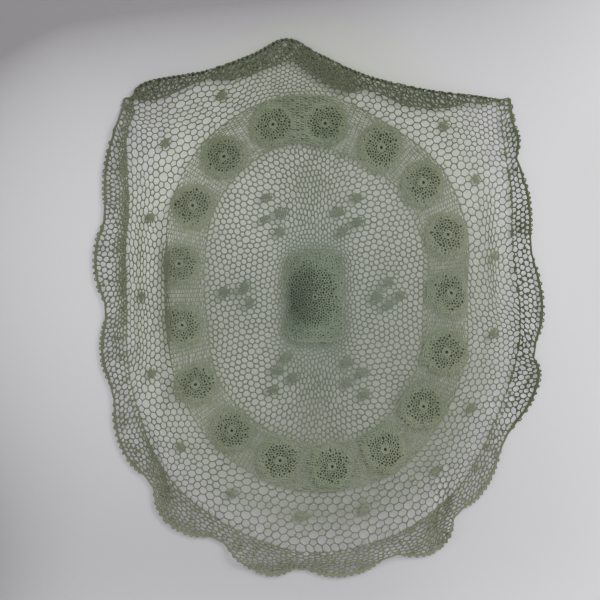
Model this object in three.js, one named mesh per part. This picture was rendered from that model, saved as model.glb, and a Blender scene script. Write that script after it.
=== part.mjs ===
// Oval crochet tablecloth, hung flat against a wall from three points of its upper edge.
// Millimetres, +Z up, front towards -Y. The origin is the middle hang point, on the wall plane.
// The cloth is one sheet, worked in 17 sectors round an oblong medallion. Its upper hem is
// turned over to the front, its sides hang in soft upright folds and its lower hem curls.

import * as THREE from "three";

const SHEET_THICKNESS = 2.5;
const WALL_CLEARANCE = 10;
const PIN_CLEARANCE = 4;
const PIN_REACH = 75;
const TURN_RADIUS = 4;
const TURN_FADE = 0.1;
const DRAW_FADE = 0.12;
const SCALLOP_SHARE = 0.8;
const SCALLOP_ROUNDNESS = 0.75;
const PULL_SHARPNESS = 1.5;

const SECTORS = 17;
const COLUMNS_PER_SECTOR = 8;
const COLUMNS = SECTORS * COLUMNS_PER_SECTOR;

const MEDALLION = { x: 54, z: -516, halfWidth: 60, halfHeight: 90 };
const BELLY = { x: 60, z: -540, reach: 400, height: 8 };

// One row for each sector, clockwise from the one right of the middle hang point: the centre of
// its rosette, how far the close work reaches inwards and outwards from there, the tip of its
// scallop, the notch between that scallop and the next one, and how far the border reaches
// inwards from the line through the notches. Beside the turned hem it starts outside that line.
const sectorTable = [
  { rosette: [76, -170], inward: 46, outward: 54,
    tip: [96, -102], notch: [166, -106], border: 38 },
  { rosette: [188, -218], inward: 46, outward: 46,
    tip: [282, -142], notch: [374, -134], border: -110 },
  { rosette: [272, -288], inward: 46, outward: 46,
    tip: [456, -172], notch: [464, -250], border: 2 },
  { rosette: [320, -392], inward: 44, outward: 40,
    tip: [488, -334], notch: [488, -414], border: 37 },
  { rosette: [326, -508], inward: 46, outward: 32,
    tip: [514, -526], notch: [496, -622], border: 36 },
  { rosette: [318, -626], inward: 46, outward: 40,
    tip: [502, -702], notch: [436, -802], border: 38 },
  { rosette: [272, -734], inward: 46, outward: 46,
    tip: [400, -896], notch: [342, -948], border: 38 },
  { rosette: [196, -820], inward: 46, outward: 48,
    tip: [300, -1024], notch: [206, -1034], border: 38 },
  { rosette: [90, -854], inward: 46, outward: 48,
    tip: [122, -1074], notch: [28, -1060], border: 38 },
  { rosette: [-14, -842], inward: 46, outward: 46,
    tip: [-56, -1068], notch: [-138, -1002], border: 38 },
  { rosette: [-110, -782], inward: 44, outward: 46,
    tip: [-234, -974], notch: [-276, -886], border: 38 },
  { rosette: [-182, -690], inward: 46, outward: 34,
    tip: [-336, -812], notch: [-350, -708], border: 44 },
  { rosette: [-208, -572], inward: 50, outward: 32,
    tip: [-374, -626], notch: [-364, -544], border: 46 },
  { rosette: [-214, -450], inward: 50, outward: 28,
    tip: [-388, -448], notch: [-366, -350], border: 46 },
  { rosette: [-188, -334], inward: 44, outward: 42,
    tip: [-368, -270], notch: [-336, -164], border: 49 },
  { rosette: [-126, -236], inward: 46, outward: 48,
    tip: [-264, -128], notch: [-168, -86], border: 4 },
  { rosette: [-28, -172], inward: 46, outward: 48,
    tip: [-88, -80], notch: [6, -48], border: 38 },
];

// The places of the three hang points on the cloth's upper line.
const HANG_POINTS = [[-322, -124], [0, -4], [442, -124]];

// The line over which the upper hem is turned to the front, from the left corner to the right:
// the sector where each point lies, counted on past 17, and its place.
const turnLine = [
  { sector: 14.75, place: [-308, -126] },
  { sector: 14.87, place: [-296, -101] },
  { sector: 15, place: [-262, -86] },
  { sector: 15.5, place: [-160, -68] },
  { sector: 16, place: [-70, -37] },
  { sector: 16.5, place: [0, -4] },
  { sector: 17, place: [66, -36] },
  { sector: 17.5, place: [158, -78] },
  { sector: 18, place: [266, -104] },
  { sector: 18.5, place: [374, -118] },
  { sector: 18.75, place: [424, -125] },
];

// The places that the two corner hang points pull the hem to, and how many sectors each pull
// spreads over.
const pins = [
  { sector: 14.75, place: [-327, -120], spread: 0.3 },
  { sector: 18.75, place: [447, -120], spread: 0.3 },
];

// One row for each ridge, or trough where the height is negative: the ends of its crest, its
// height from the wall side to the front, its breadth to the left of or below the crest, and
// its breadth to the right of or above it.
const folds = [
  { name: "left ring edge", from: [-232, -362], to: [-222, -712], height: 16, below: 20, above: 84 },
  { name: "right ring edge", from: [344, -412], to: [346, -552], height: 14, below: 74, above: 22 },
  { name: "left border", from: [-330, -152], to: [-338, -502], height: 9, below: 32, above: 18 },
  { name: "left net, inner", from: [-276, -382], to: [-282, -602], height: 6, below: 13, above: 13 },
  { name: "left net, outer", from: [-306, -322], to: [-306, -582], height: 5, below: 12, above: 12 },
  { name: "low left trough", from: [-270, -802], to: [-246, -902], height: -9, below: 20, above: 20 },
  { name: "right net", from: [406, -322], to: [410, -582], height: 9, below: 22, above: 36 },
  { name: "right border", from: [470, -302], to: [478, -582], height: 7, below: 26, above: 32 },
  { name: "right pucker", from: [426, -722], to: [486, -706], height: -8, below: 18, above: 18 },
  { name: "low right trough", from: [316, -882], to: [306, -978], height: -10, below: 26, above: 22 },
  { name: "low right ridge", from: [350, -882], to: [330, -962], height: 8, below: 22, above: 28 },
  { name: "lower hem", from: [-98, -1034], to: [196, -1024], height: 14, below: 28, above: 26 },
  { name: "lower hem, left", from: [-230, -938], to: [-122, -982], height: 8, below: 24, above: 24 },
  { name: "lower hem, right", from: [216, -1006], to: [322, -990], height: 8, below: 24, above: 24 },
  { name: "middle drag", from: [0, -18], to: [26, -202], height: 5, below: 34, above: 34 },
  { name: "left drag", from: [-314, -132], to: [-230, -262], height: 6, below: 26, above: 26 },
  { name: "right drag", from: [336, -252], to: [436, -132], height: 6, below: 26, above: 26 },
  { name: "left swell", from: [-74, -322], to: [-94, -762], height: 5, below: 90, above: 90 },
  { name: "right swell", from: [186, -322], to: [206, -762], height: 4, below: 90, above: 90 },
];
const FOLD_FADE = 60;

// Where the rows of the sheet's mesh lie between one zone and the next.
const INNER_NET_ROWS = [0.33, 0.67, 1];
const RING_ROWS = [0.33, 0.67, 1];
const OUTER_NET_ROWS = [0.16, 0.33, 0.5, 0.67, 0.84, 1];
const HEM_ROWS = [0.08, 0.16, 0.26, 0.62, 1];

const add = (p, q) => [p[0] + q[0], p[1] + q[1]];
const subtract = (p, q) => [p[0] - q[0], p[1] - q[1]];
const scale = (p, k) => [p[0] * k, p[1] * k];
const mix = (p, q, t) => add(scale(p, 1 - t), scale(q, t));
const length = (p) => Math.hypot(p[0], p[1]);
const unit = (p) => scale(p, 1 / length(p));

// 1 at the crest, falling to 0 with level ends at u = 1.
function swell(u) {
  return Math.abs(u) < 1 ? (1 + Math.cos(Math.PI * u)) / 2 : 0;
}

function smoothStep(from, to, value) {
  const t = Math.min(Math.max((value - from) / (to - from), 0), 1);
  return t * t * (3 - 2 * t);
}

// The cubic through q at t = 0 and r at t = 1, with the slopes of a Catmull-Rom spline.
function cubic(p, q, r, s, t) {
  const value = (i) => {
    const slopeQ = (r[i] - p[i]) / 2;
    const slopeR = (s[i] - q[i]) / 2;
    const rise = r[i] - q[i];
    const square = 3 * rise - 2 * slopeQ - slopeR;
    const cube = slopeQ + slopeR - 2 * rise;
    return q[i] + t * (slopeQ + t * (square + t * cube));
  };
  return [value(0), value(1)];
}

// A closed curve through one point of each sector.
function roundCurve(points, sector) {
  const whole = Math.floor(sector);
  const point = (k) => points[(((whole + k) % SECTORS) + SECTORS) % SECTORS];
  return cubic(point(-1), point(0), point(1), point(2), sector - whole);
}

const rosettes = sectorTable.map((row) => row.rosette);
const notches = sectorTable.map((row) => row.notch);
const borderDepths = sectorTable.map((row) => [row.border, 0]);

// The outward direction of the rosette ring, square to the line through its neighbours.
function outwardOfRing(sector) {
  const along = subtract(roundCurve(rosettes, sector + 0.5), roundCurve(rosettes, sector - 0.5));
  return unit([-along[1], along[0]]);
}

const ringInner = sectorTable.map((row, k) => add(row.rosette, scale(outwardOfRing(k), -row.inward)));
const ringOuter = sectorTable.map((row, k) => add(row.rosette, scale(outwardOfRing(k), row.outward)));

// The medallion's edge on the way from its centre to the inner edge of the ring.
function medallionEdge(sector) {
  const centre = [MEDALLION.x, MEDALLION.z];
  const way = unit(subtract(roundCurve(ringInner, sector), centre));
  const reach = 1 / Math.hypot(way[0] / MEDALLION.halfWidth, way[1] / MEDALLION.halfHeight);
  return add(centre, scale(way, reach));
}

// The hem: a smooth line through the notches, with a round lobe out to each scallop's tip,
// drawn to the hang points.
function hemWithoutPins(sector) {
  const nearest = Math.round(sector);
  const base = (s) => roundCurve(notches, s - 0.5);
  const tip = sectorTable[((nearest % SECTORS) + SECTORS) % SECTORS].tip;
  const across = (2 * (sector - nearest)) / SCALLOP_SHARE;
  const lobe = Math.max(0, 1 - across * across) ** SCALLOP_ROUNDNESS;
  return add(base(sector), scale(subtract(tip, base(nearest)), lobe));
}

function hem(sector) {
  let point = hemWithoutPins(sector);
  for (const pin of pins) {
    const away = ((sector - pin.sector + SECTORS * 2.5) % SECTORS) - SECTORS / 2;
    const pull = subtract(pin.place, hemWithoutPins(pin.sector));
    const share = Math.max(0, 1 - Math.abs(away) / pin.spread) ** PULL_SHARPNESS;
    point = add(point, scale(pull, share));
  }
  return point;
}

// A sector of the right half counted on past 17, as in the turn line's table.
function countedOn(sector) {
  return sector < SECTORS / 2 ? sector + SECTORS : sector;
}

// 1 between the corners, falling to 0 from start to end, in sectors past either corner.
function betweenCorners(sector, start, end) {
  const s = countedOn(sector);
  const first = turnLine[0].sector;
  const last = turnLine[turnLine.length - 1].sector;
  return (1 - smoothStep(start, end, first - s)) * (1 - smoothStep(start, end, s - last));
}

// How far the hem is turned to the front: 0 where it hangs free, 1 where it is turned over.
const turned = (sector) => betweenCorners(sector, -TURN_FADE, TURN_FADE);

// How far the border's inner line is drawn out to the turn line.
const drawnOut = (sector) => betweenCorners(sector, 0, DRAW_FADE);

// The line between net and border, which is the turn line where the hem is turned over.
function turnPoint(sector) {
  const notch = roundCurve(notches, sector - 0.5);
  const inwards = unit(subtract(roundCurve(ringOuter, sector), notch));
  const free = add(notch, scale(inwards, roundCurve(borderDepths, sector)[0]));
  const share = drawnOut(sector);
  if (share === 0) {
    return free;
  }
  const last = turnLine.length - 1;
  const s = countedOn(sector);
  let k = 0;
  while (k < last - 1 && s > turnLine[k + 1].sector) {
    k += 1;
  }
  const t = (s - turnLine[k].sector) / (turnLine[k + 1].sector - turnLine[k].sector);
  const row = (i) => turnLine[Math.min(Math.max(i, 0), last)].place;
  const over = cubic(row(k - 1), row(k), row(k + 1), row(k + 2), Math.min(Math.max(t, 0), 1));
  return mix(free, over, share);
}

// How far the cloth stands out from the wall plane at a place of the front view.
function standOff(point) {
  const belly = BELLY.height * swell(length(subtract(point, [BELLY.x, BELLY.z])) / BELLY.reach);
  let out = WALL_CLEARANCE + belly;
  for (const fold of folds) {
    const along = unit(subtract(fold.to, fold.from));
    const offset = subtract(point, fold.from);
    const run = offset[0] * along[0] + offset[1] * along[1];
    const side = offset[1] * along[0] - offset[0] * along[1];
    const past = Math.max(-run, run - length(subtract(fold.to, fold.from)), 0);
    const breadth = side < 0 ? fold.below : fold.above;
    out += fold.height * swell(side / breadth) * swell(past / FOLD_FADE);
  }
  for (const hangPoint of HANG_POINTS) {
    const near = swell(length(subtract(point, hangPoint)) / PIN_REACH);
    out += (PIN_CLEARANCE - out) * near;
  }
  return Math.max(out, PIN_CLEARANCE);
}

// One place of the cloth's middle surface in space.
function place(point, forward) {
  return new THREE.Vector3(point[0], -standOff(point) - forward, point[1]);
}

// The hem part of one column, from the turn (q = 0) to the edge (q = 1). Where it is turned, it
// rounds the turn on a half circle before it hangs down in front.
function hemPlace(sector, q) {
  const turn = turnPoint(sector);
  const edge = hem(sector);
  const share = turned(sector);
  const depth = length(subtract(edge, turn));
  const arc = (Math.PI * TURN_RADIUS * share) / (depth + Math.PI * TURN_RADIUS * share);
  const angle = arc > 0 ? Math.PI * share * Math.min(q / arc, 1) : 0;
  const outwards = unit(subtract(turn, roundCurve(ringOuter, sector)));
  const flat = mix(turn, edge, Math.max(0, q - arc) / (1 - arc));
  const point = add(flat, scale(outwards, TURN_RADIUS * Math.sin(angle)));
  const behind = standOff(flat) - standOff(point);
  return place(point, TURN_RADIUS * (1 - Math.cos(angle)) + behind * share);
}

// The rows of one column, from the medallion's edge to the hem.
function columnOf(sector) {
  const medallion = medallionEdge(sector);
  const inner = roundCurve(ringInner, sector);
  const outer = roundCurve(ringOuter, sector);
  const turn = turnPoint(sector);
  return [
    place(medallion, 0),
    ...INNER_NET_ROWS.map((t) => place(mix(medallion, inner, t), 0)),
    ...RING_ROWS.map((t) => place(mix(inner, outer, t), 0)),
    ...OUTER_NET_ROWS.map((t) => place(mix(outer, turn, t), 0)),
    ...HEM_ROWS.map((q) => hemPlace(sector, q)),
  ];
}

// Closes the middle surface into a sheet: a copy moved half a thickness to the front, one to
// the back, and a rim along the hem.
function sheetGeometry() {
  const columns = Array.from({ length: COLUMNS }, (_, j) => columnOf(j / COLUMNS_PER_SECTOR));
  const rows = columns[0].length;
  const middle = [place([MEDALLION.x, MEDALLION.z], 0)];
  for (let row = 0; row < rows; row += 1) {
    for (const column of columns) {
      middle.push(column[row]);
    }
  }
  const at = (row, column) => 1 + row * COLUMNS + ((column + COLUMNS) % COLUMNS);
  const triangles = [];
  for (let j = 0; j < COLUMNS; j += 1) {
    triangles.push([0, at(0, j), at(0, j + 1)]);
    for (let row = 0; row < rows - 1; row += 1) {
      triangles.push([at(row, j), at(row + 1, j), at(row + 1, j + 1)]);
      triangles.push([at(row, j), at(row + 1, j + 1), at(row, j + 1)]);
    }
  }
  const normals = middle.map(() => new THREE.Vector3());
  const edgeA = new THREE.Vector3();
  const edgeB = new THREE.Vector3();
  for (const [a, b, c] of triangles) {
    edgeA.subVectors(middle[b], middle[a]);
    edgeB.subVectors(middle[c], middle[a]);
    edgeA.cross(edgeB);
    for (const corner of [a, b, c]) {
      normals[corner].add(edgeA);
    }
  }
  const half = SHEET_THICKNESS / 2;
  const positions = [];
  for (const side of [1, -1]) {
    middle.forEach((point, i) => {
      const moved = point.clone().addScaledVector(normals[i].clone().normalize(), half * side);
      positions.push(moved.x, moved.y, moved.z);
    });
  }
  const back = middle.length;
  const index = [];
  for (const [a, b, c] of triangles) {
    index.push(a, b, c, back + a, back + c, back + b);
  }
  for (let j = 0; j < COLUMNS; j += 1) {
    const a = at(rows - 1, j);
    const b = at(rows - 1, j + 1);
    index.push(a, back + a, back + b, a, back + b, b);
  }
  const geometry = new THREE.BufferGeometry();
  geometry.setAttribute("position", new THREE.Float32BufferAttribute(positions, 3));
  geometry.setIndex(index);
  geometry.computeVertexNormals();
  return geometry;
}

const yarn = new THREE.MeshStandardMaterial({ color: 0x7a8270, roughness: 0.95, metalness: 0 });
const tablecloth = new THREE.Mesh(sheetGeometry(), yarn);
tablecloth.name = "tablecloth";

const group = new THREE.Group();
group.add(tablecloth);

export default group;
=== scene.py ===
"""Oval crochet tablecloth, hung flat against a wall from three points of its upper edge.

Lengths are millimetres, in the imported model's frame: X to the right, Z up, front towards -Y.
Places on the front view are (x, z). Lights, camera and shaders count in metres. Every strand
follows the hung surface, whose shape is worked out first.
"""

import functools
import math

import bpy
import numpy as np
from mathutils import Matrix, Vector
from mathutils.geometry import delaunay_2d_cdt


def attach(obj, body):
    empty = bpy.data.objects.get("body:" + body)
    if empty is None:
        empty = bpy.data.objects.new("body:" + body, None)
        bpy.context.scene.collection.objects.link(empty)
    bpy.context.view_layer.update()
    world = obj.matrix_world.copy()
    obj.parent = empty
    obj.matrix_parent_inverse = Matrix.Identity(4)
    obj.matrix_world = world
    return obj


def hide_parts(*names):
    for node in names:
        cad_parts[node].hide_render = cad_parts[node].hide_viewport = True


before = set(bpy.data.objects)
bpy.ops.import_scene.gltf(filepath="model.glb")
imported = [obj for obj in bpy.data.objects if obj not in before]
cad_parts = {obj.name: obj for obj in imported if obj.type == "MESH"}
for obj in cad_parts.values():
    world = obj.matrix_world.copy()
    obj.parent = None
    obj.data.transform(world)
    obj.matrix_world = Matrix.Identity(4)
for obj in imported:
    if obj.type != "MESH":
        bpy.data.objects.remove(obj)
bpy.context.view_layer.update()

bl_info = {
    "name": "Crochet tablecloth",
    "version": (1, 0, 0),
    "blender": (4, 5, 0),
    "location": "View3D > Sidebar > Tablecloth",
    "description": "Works an oval crochet tablecloth strand by strand on its hung surface",
    "category": "Add Mesh",
}

MM = 0.001


def table(columns, *rows):
    """One dictionary for each row, from the names of the columns and the rows."""
    return [dict(zip(columns.split(), row)) for row in rows]


# The hung surface

SECTORS = 17
WALL_CLEARANCE = 10
PIN_CLEARANCE = 4
PIN_REACH = 75
TURN_RADIUS = 4
TURN_FADE = 0.1
DRAW_FADE = 0.12
SCALLOP_SHARE = 0.8
SCALLOP_ROUNDNESS = 0.75
PULL_SHARPNESS = 1.5
TINY = 1e-9

MEDALLION = {"centre": (56, -516), "half_width": 54, "half_height": 88, "corner": 22}
CORE_PULL = 0.62
BELLY = {"centre": (60, -540), "reach": 400, "height": 8}
MEDALLION_CENTRE = np.array(MEDALLION["centre"], float)

# One row for each sector, clockwise from the one right of the middle hang point: the centre of
# its rosette, how far the close work reaches inwards and outwards from there, the tip of its
# scallop, the notch between that scallop and the next one, and how far the border reaches
# inwards from the line through the notches.
SECTOR_TABLE = table(
    "rosette inward outward tip notch border",
    ((76, -170), 46, 54, (96, -102), (166, -106), 38),
    ((188, -218), 46, 46, (282, -142), (374, -134), -110),
    ((272, -288), 46, 46, (456, -172), (464, -250), 2),
    ((320, -392), 44, 40, (488, -334), (488, -414), 37),
    ((326, -508), 46, 32, (514, -526), (496, -622), 36),
    ((318, -626), 46, 40, (502, -702), (436, -802), 38),
    ((272, -734), 46, 46, (400, -896), (342, -948), 38),
    ((196, -820), 46, 48, (300, -1024), (206, -1034), 38),
    ((90, -854), 46, 48, (122, -1074), (28, -1060), 38),
    ((-14, -842), 46, 46, (-56, -1068), (-138, -1002), 38),
    ((-110, -782), 44, 46, (-234, -974), (-276, -886), 38),
    ((-182, -690), 46, 34, (-336, -812), (-350, -708), 44),
    ((-208, -572), 50, 32, (-374, -626), (-364, -544), 46),
    ((-214, -450), 50, 28, (-388, -448), (-366, -350), 46),
    ((-188, -334), 44, 42, (-368, -270), (-336, -164), 49),
    ((-126, -236), 46, 48, (-264, -128), (-168, -86), 4),
    ((-28, -172), 46, 48, (-88, -80), (6, -48), 38),
)

HANG_POINTS = [(-322, -124), (0, -4), (442, -124)]

# The line over which the upper hem is turned to the front, from the left corner to the right:
# the sector where each point lies, counted on past 17, and its place.
TURN_LINE = table(
    "sector place",
    (14.75, (-308, -126)),
    (14.87, (-296, -101)),
    (15, (-262, -86)),
    (15.5, (-160, -68)),
    (16, (-70, -37)),
    (16.5, (0, -4)),
    (17, (66, -36)),
    (17.5, (158, -78)),
    (18, (266, -104)),
    (18.5, (374, -118)),
    (18.75, (424, -125)),
)

# The places that the two corner hang points pull the hem to, and how many sectors each spreads.
CORNER_PULLS = table(
    "sector place spread",
    (14.75, (-327, -120), 0.3),
    (18.75, (447, -120), 0.3),
)

# One row for each ridge, or trough where the height is negative: the ends of its crest, its
# height from the wall side to the front, its breadth to the left of or below the crest, and
# its breadth to the right of or above it.
FOLDS = table(
    "name from to height below above",
    ("left ring edge", (-232, -362), (-222, -712), 16, 20, 84),
    ("right ring edge", (344, -412), (346, -552), 14, 74, 22),
    ("left border", (-330, -152), (-338, -502), 9, 32, 18),
    ("left net, inner", (-276, -382), (-282, -602), 6, 13, 13),
    ("left net, outer", (-306, -322), (-306, -582), 5, 12, 12),
    ("low left trough", (-270, -802), (-246, -902), -9, 20, 20),
    ("right net", (406, -322), (410, -582), 9, 22, 36),
    ("right border", (470, -302), (478, -582), 7, 26, 32),
    ("right pucker", (426, -722), (486, -706), -8, 18, 18),
    ("low right trough", (316, -882), (306, -978), -10, 26, 22),
    ("low right ridge", (350, -882), (330, -962), 8, 22, 28),
    ("lower hem", (-98, -1034), (196, -1024), 14, 28, 26),
    ("lower hem, left", (-230, -938), (-122, -982), 8, 24, 24),
    ("lower hem, right", (216, -1006), (322, -990), 8, 24, 24),
    ("middle drag", (0, -18), (26, -202), 5, 34, 34),
    ("left drag", (-314, -132), (-230, -262), 6, 26, 26),
    ("right drag", (336, -252), (436, -132), 6, 26, 26),
    ("left swell", (-74, -322), (-94, -762), 5, 90, 90),
    ("right swell", (186, -322), (206, -762), 4, 90, 90),
)
FOLD_FADE = 60

# Lines along which the work lies closer together, or further apart where more is negative: by
# how much, as a share, how far that spreads to either side, and how far it fades past the ends.
CLOSE_LINES = table(
    "name from to more spread fade",
    ("left net", (-290, -330), (-292, -600), 1.0, 44, 150),
    ("left border", (-328, -220), (-338, -600), 0.9, 15, 60),
    ("left ring edge", (-250, -420), (-246, -590), 0.7, 18, 70),
    ("right net", (403, -370), (408, -470), 1.5, 22, 120),
    ("right ring edge", (358, -450), (360, -520), 0.7, 16, 60),
    ("upper left net", (-240, -172), (-110, -124), 0.35, 50, 70),
    ("low left", (-250, -880), (-270, -800), 0.5, 24, 70),
    ("low right", (300, -960), (336, -880), 0.5, 24, 70),
)

# Places about which the inner net is drawn together sideways, as a share, and its cells stand
# in narrow columns.
DRAWN_IN = table(
    "name place width height more",
    ("above the medallion", (56, -325), 84, 150, 0.55),
    ("below the medallion", (60, -705), 84, 150, 0.55),
)

# Rings of the worked cloth, from its middle out.
CENTRE, MEDALLION_EDGE, RING_INNER, RING_OUTER, NET_EDGE, HEM = range(6)

COLUMNS_PER_SECTOR = 24
ROWS_PER_ZONE = 64


def column_of(table, name):
    """One column of a table of rows, as an array."""
    return np.array([row[name] for row in table], float)


def unit(v):
    """Vectors scaled to length 1."""
    return v / np.maximum(np.linalg.norm(v, axis=-1, keepdims=True), TINY)


def mix(p, q, t):
    """The point a share t of the way from p to q."""
    return p + (q - p) * np.asarray(t)[..., None]


def swell(u):
    """A raised cosine: 1 at u = 0, falling to 0 with level ends at u = 1 and -1."""
    return np.where(np.abs(u) < 1, (1 + np.cos(np.pi * np.clip(u, -1, 1))) / 2, 0.0)


def smooth_step(start, end, value):
    """The cubic 3t^2 - 2t^3, where t runs from 0 at start to 1 at end."""
    t = np.clip((value - start) / (end - start), 0, 1)
    return t * t * (3 - 2 * t)


def catmull_rom(p, q, r, s, t):
    """The cubic through q at t = 0 and r at t = 1, with slopes half of r - p and of s - q."""
    t = np.asarray(t)[..., None]
    slope_q, slope_r, rise = (r - p) / 2, (s - q) / 2, r - q
    square = 3 * rise - 2 * slope_q - slope_r
    cube = slope_q + slope_r - 2 * rise
    return q + t * (slope_q + t * (square + t * cube))


def round_curve(points, sector):
    """A closed Catmull-Rom curve through one point of each sector."""
    whole = np.floor(sector).astype(int)
    near = [points[(whole + k) % SECTORS] for k in (-1, 0, 1, 2)]
    return catmull_rom(*near, sector - whole)


ROSETTES = column_of(SECTOR_TABLE, "rosette")
NOTCHES = column_of(SECTOR_TABLE, "notch")
TIPS = column_of(SECTOR_TABLE, "tip")


def outward_of_ring(sector):
    """The direction square to the line through the rosettes on either side."""
    along = round_curve(ROSETTES, sector + 0.5) - round_curve(ROSETTES, sector - 0.5)
    return unit(np.stack([-along[..., 1], along[..., 0]], axis=-1))


WHOLE_SECTORS = np.arange(SECTORS, dtype=float)
OUTWARD = outward_of_ring(WHOLE_SECTORS)
RING_INNER_POINTS = ROSETTES - OUTWARD * column_of(SECTOR_TABLE, "inward")[:, None]
RING_OUTER_POINTS = ROSETTES + OUTWARD * column_of(SECTOR_TABLE, "outward")[:, None]


def medallion_edge(sector):
    """The rounded rectangle round the medallion, at its point nearest the ring's inner edge."""
    corner = MEDALLION["corner"]
    halves = np.array([MEDALLION["half_width"], MEDALLION["half_height"]], float) - corner
    away = round_curve(RING_INNER_POINTS, sector) - MEDALLION_CENTRE
    core = np.clip(away * CORE_PULL, -halves, halves)
    return MEDALLION_CENTRE + core + corner * unit(away - core)


def notch_line(sector):
    """The closed curve through the notches between the scallops."""
    return round_curve(NOTCHES, sector - 0.5)


def scallop(sector):
    """How far the hem is out from the notch line to the scallop's tip: (1 - u^2)^0.75."""
    across = 2 * (sector - np.round(sector)) / SCALLOP_SHARE
    return np.maximum(0, 1 - across**2) ** SCALLOP_ROUNDNESS


def hem_without_pulls(sector):
    """The notch line, with a round lobe out to each scallop's tip."""
    nearest = np.round(sector)
    reach = TIPS[nearest.astype(int) % SECTORS] - notch_line(nearest)
    return notch_line(sector) + reach * scallop(sector)[..., None]


def hem_line(sector):
    """The hem, drawn to each corner hang point by a pull that fades with (1 - u)^1.5."""
    point = hem_without_pulls(sector)
    for pull in CORNER_PULLS:
        away = (sector - pull["sector"] + SECTORS * 2.5) % SECTORS - SECTORS / 2
        reach = np.array(pull["place"]) - hem_without_pulls(np.array([pull["sector"]]))[0]
        share = np.maximum(0, 1 - np.abs(away) / pull["spread"]) ** PULL_SHARPNESS
        point = point + reach * share[..., None]
    return point


def counted_on(sector):
    """A sector of the right half counted on past 17, as in the table of the turn line."""
    return np.where(sector < SECTORS / 2, sector + SECTORS, sector)


def between_corners(sector, start, end):
    """1 between the corners, falling to 0 from start to end, in sectors past either corner."""
    s = counted_on(sector)
    first, last = TURN_LINE[0]["sector"], TURN_LINE[-1]["sector"]
    return (1 - smooth_step(start, end, first - s)) * (1 - smooth_step(start, end, s - last))


def net_edge(sector):
    """The line between net and border, which is the turn line where the hem is turned over."""
    notch = notch_line(sector)
    depth = round_curve(column_of(SECTOR_TABLE, "border")[:, None], sector)
    free = notch + depth * unit(round_curve(RING_OUTER_POINTS, sector) - notch)
    knots, places = column_of(TURN_LINE, "sector"), column_of(TURN_LINE, "place")
    s = counted_on(sector)
    k = np.clip(np.searchsorted(knots, s, side="right") - 1, 0, len(knots) - 2)
    t = np.clip((s - knots[k]) / (knots[k + 1] - knots[k]), 0, 1)
    near = [places[np.clip(k + i, 0, len(knots) - 1)] for i in (-1, 0, 1, 2)]
    return mix(free, catmull_rom(*near, t), between_corners(sector, 0, DRAW_FADE))


def beside(point, line):
    """How far points lie beside a line from one place to another, to its left where positive,
    and how far past either end."""
    start, end = np.array(line["from"], float), np.array(line["to"], float)
    along = unit(end - start)
    offset = point - start
    run = offset @ along
    side = offset[..., 1] * along[0] - offset[..., 0] * along[1]
    return side, np.maximum(np.maximum(-run, run - np.linalg.norm(end - start)), 0)


def stand_off(point):
    """How far the cloth stands out from the wall: a low belly, plus each fold's raised cosine
    across its crest times one along it past its ends, drawn in at the hang points."""
    belly = np.linalg.norm(point - np.array(BELLY["centre"]), axis=-1) / BELLY["reach"]
    out = WALL_CLEARANCE + BELLY["height"] * swell(belly)
    for fold in FOLDS:
        side, past = beside(point, fold)
        breadth = np.where(side < 0, fold["below"], fold["above"])
        out = out + fold["height"] * swell(side / breadth) * swell(past / FOLD_FADE)
    for hang_point in HANG_POINTS:
        near = swell(np.linalg.norm(point - np.array(hang_point), axis=-1) / PIN_REACH)
        out = out + (PIN_CLEARANCE - out) * near
    return np.maximum(out, PIN_CLEARANCE)


# The oval that the ring follows: its centre, its half width and half height, and the shares of
# it inside which the nets are spread out in full sideways and together upwards, and outside
# which they aren't. Outside the oval they are spread out away from it.
RING_OVAL = {"centre": (56, -510), "reach": (300, 392), "inside": 0.8, "outside": 0.95}
TALLER_INSIDE = np.array((0.08, -0.07))
LONGER_OUTSIDE = 0.2


def closeness(point):
    """How close together the rounds lie at points of the front view, where 1 is normal."""
    close = np.ones(point.shape[:-1])
    for line in CLOSE_LINES:
        side, past = beside(point, line)
        close = close + line["more"] * swell(side / line["spread"]) * swell(past / line["fade"])
    return close


def spread_out(point):
    """Points of the front view moved apart where the work is close: beside each close line by
    the run of a raised cosine across it, (u + sin(pi u) / pi) / 2, away from the middle, and
    about each drawn-in place sideways by x exp(-(x/w)^2). Inside the ring's oval they are moved
    apart sideways and together upwards, and outside it away from it, so that the cells of the
    inner net are tall and those of the outer net long round the cloth."""
    away = point - np.array(RING_OVAL["centre"])
    oval = np.linalg.norm(away / np.array(RING_OVAL["reach"]), axis=-1)
    inside = smooth_step(RING_OVAL["outside"], RING_OVAL["inside"], oval)[..., None]
    outside = (1 - 1 / np.maximum(oval, 1))[..., None]
    moved = point + away * (inside * TALLER_INSIDE + outside * LONGER_OUTSIDE)
    for line in CLOSE_LINES:
        side, past = beside(point, line)
        inner_side, _ = beside(MEDALLION_CENTRE, line)
        along = unit(np.array(line["to"], float) - np.array(line["from"], float))
        u = np.clip(side / line["spread"], -1, 1)
        run = (u + np.sin(np.pi * u) / np.pi) / 2 - np.sign(inner_side) / 2
        reach = line["more"] * line["spread"] * run * swell(past / line["fade"])
        moved = moved + reach[..., None] * np.array([-along[1], along[0]])
    for spot in DRAWN_IN:
        off = point - np.array(spot["place"], float)
        near = np.exp(-((off[..., 0] / spot["width"]) ** 2)) * swell(off[..., 1] / spot["height"])
        moved[..., 0] += spot["more"] * off[..., 0] * near
    return moved


# The most that spread_out stretches the work, and how many steps undo it.
CLOSEST, TAKE_BACK_STEPS = 3.2, 60


def drawn_together(moved):
    """The points of the front view that spread_out moves to the given ones, by steps of what is
    still missing over the most that spread_out stretches."""
    point = np.array(moved, float)
    for _ in range(TAKE_BACK_STEPS):
        point = point + (moved - spread_out(point)) / CLOSEST
    return point


def in_space(point, forward):
    """Points of the front view placed in space, a little further forward."""
    return np.stack([point[..., 0], -stand_off(point) - forward, point[..., 1]], axis=-1)


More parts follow.
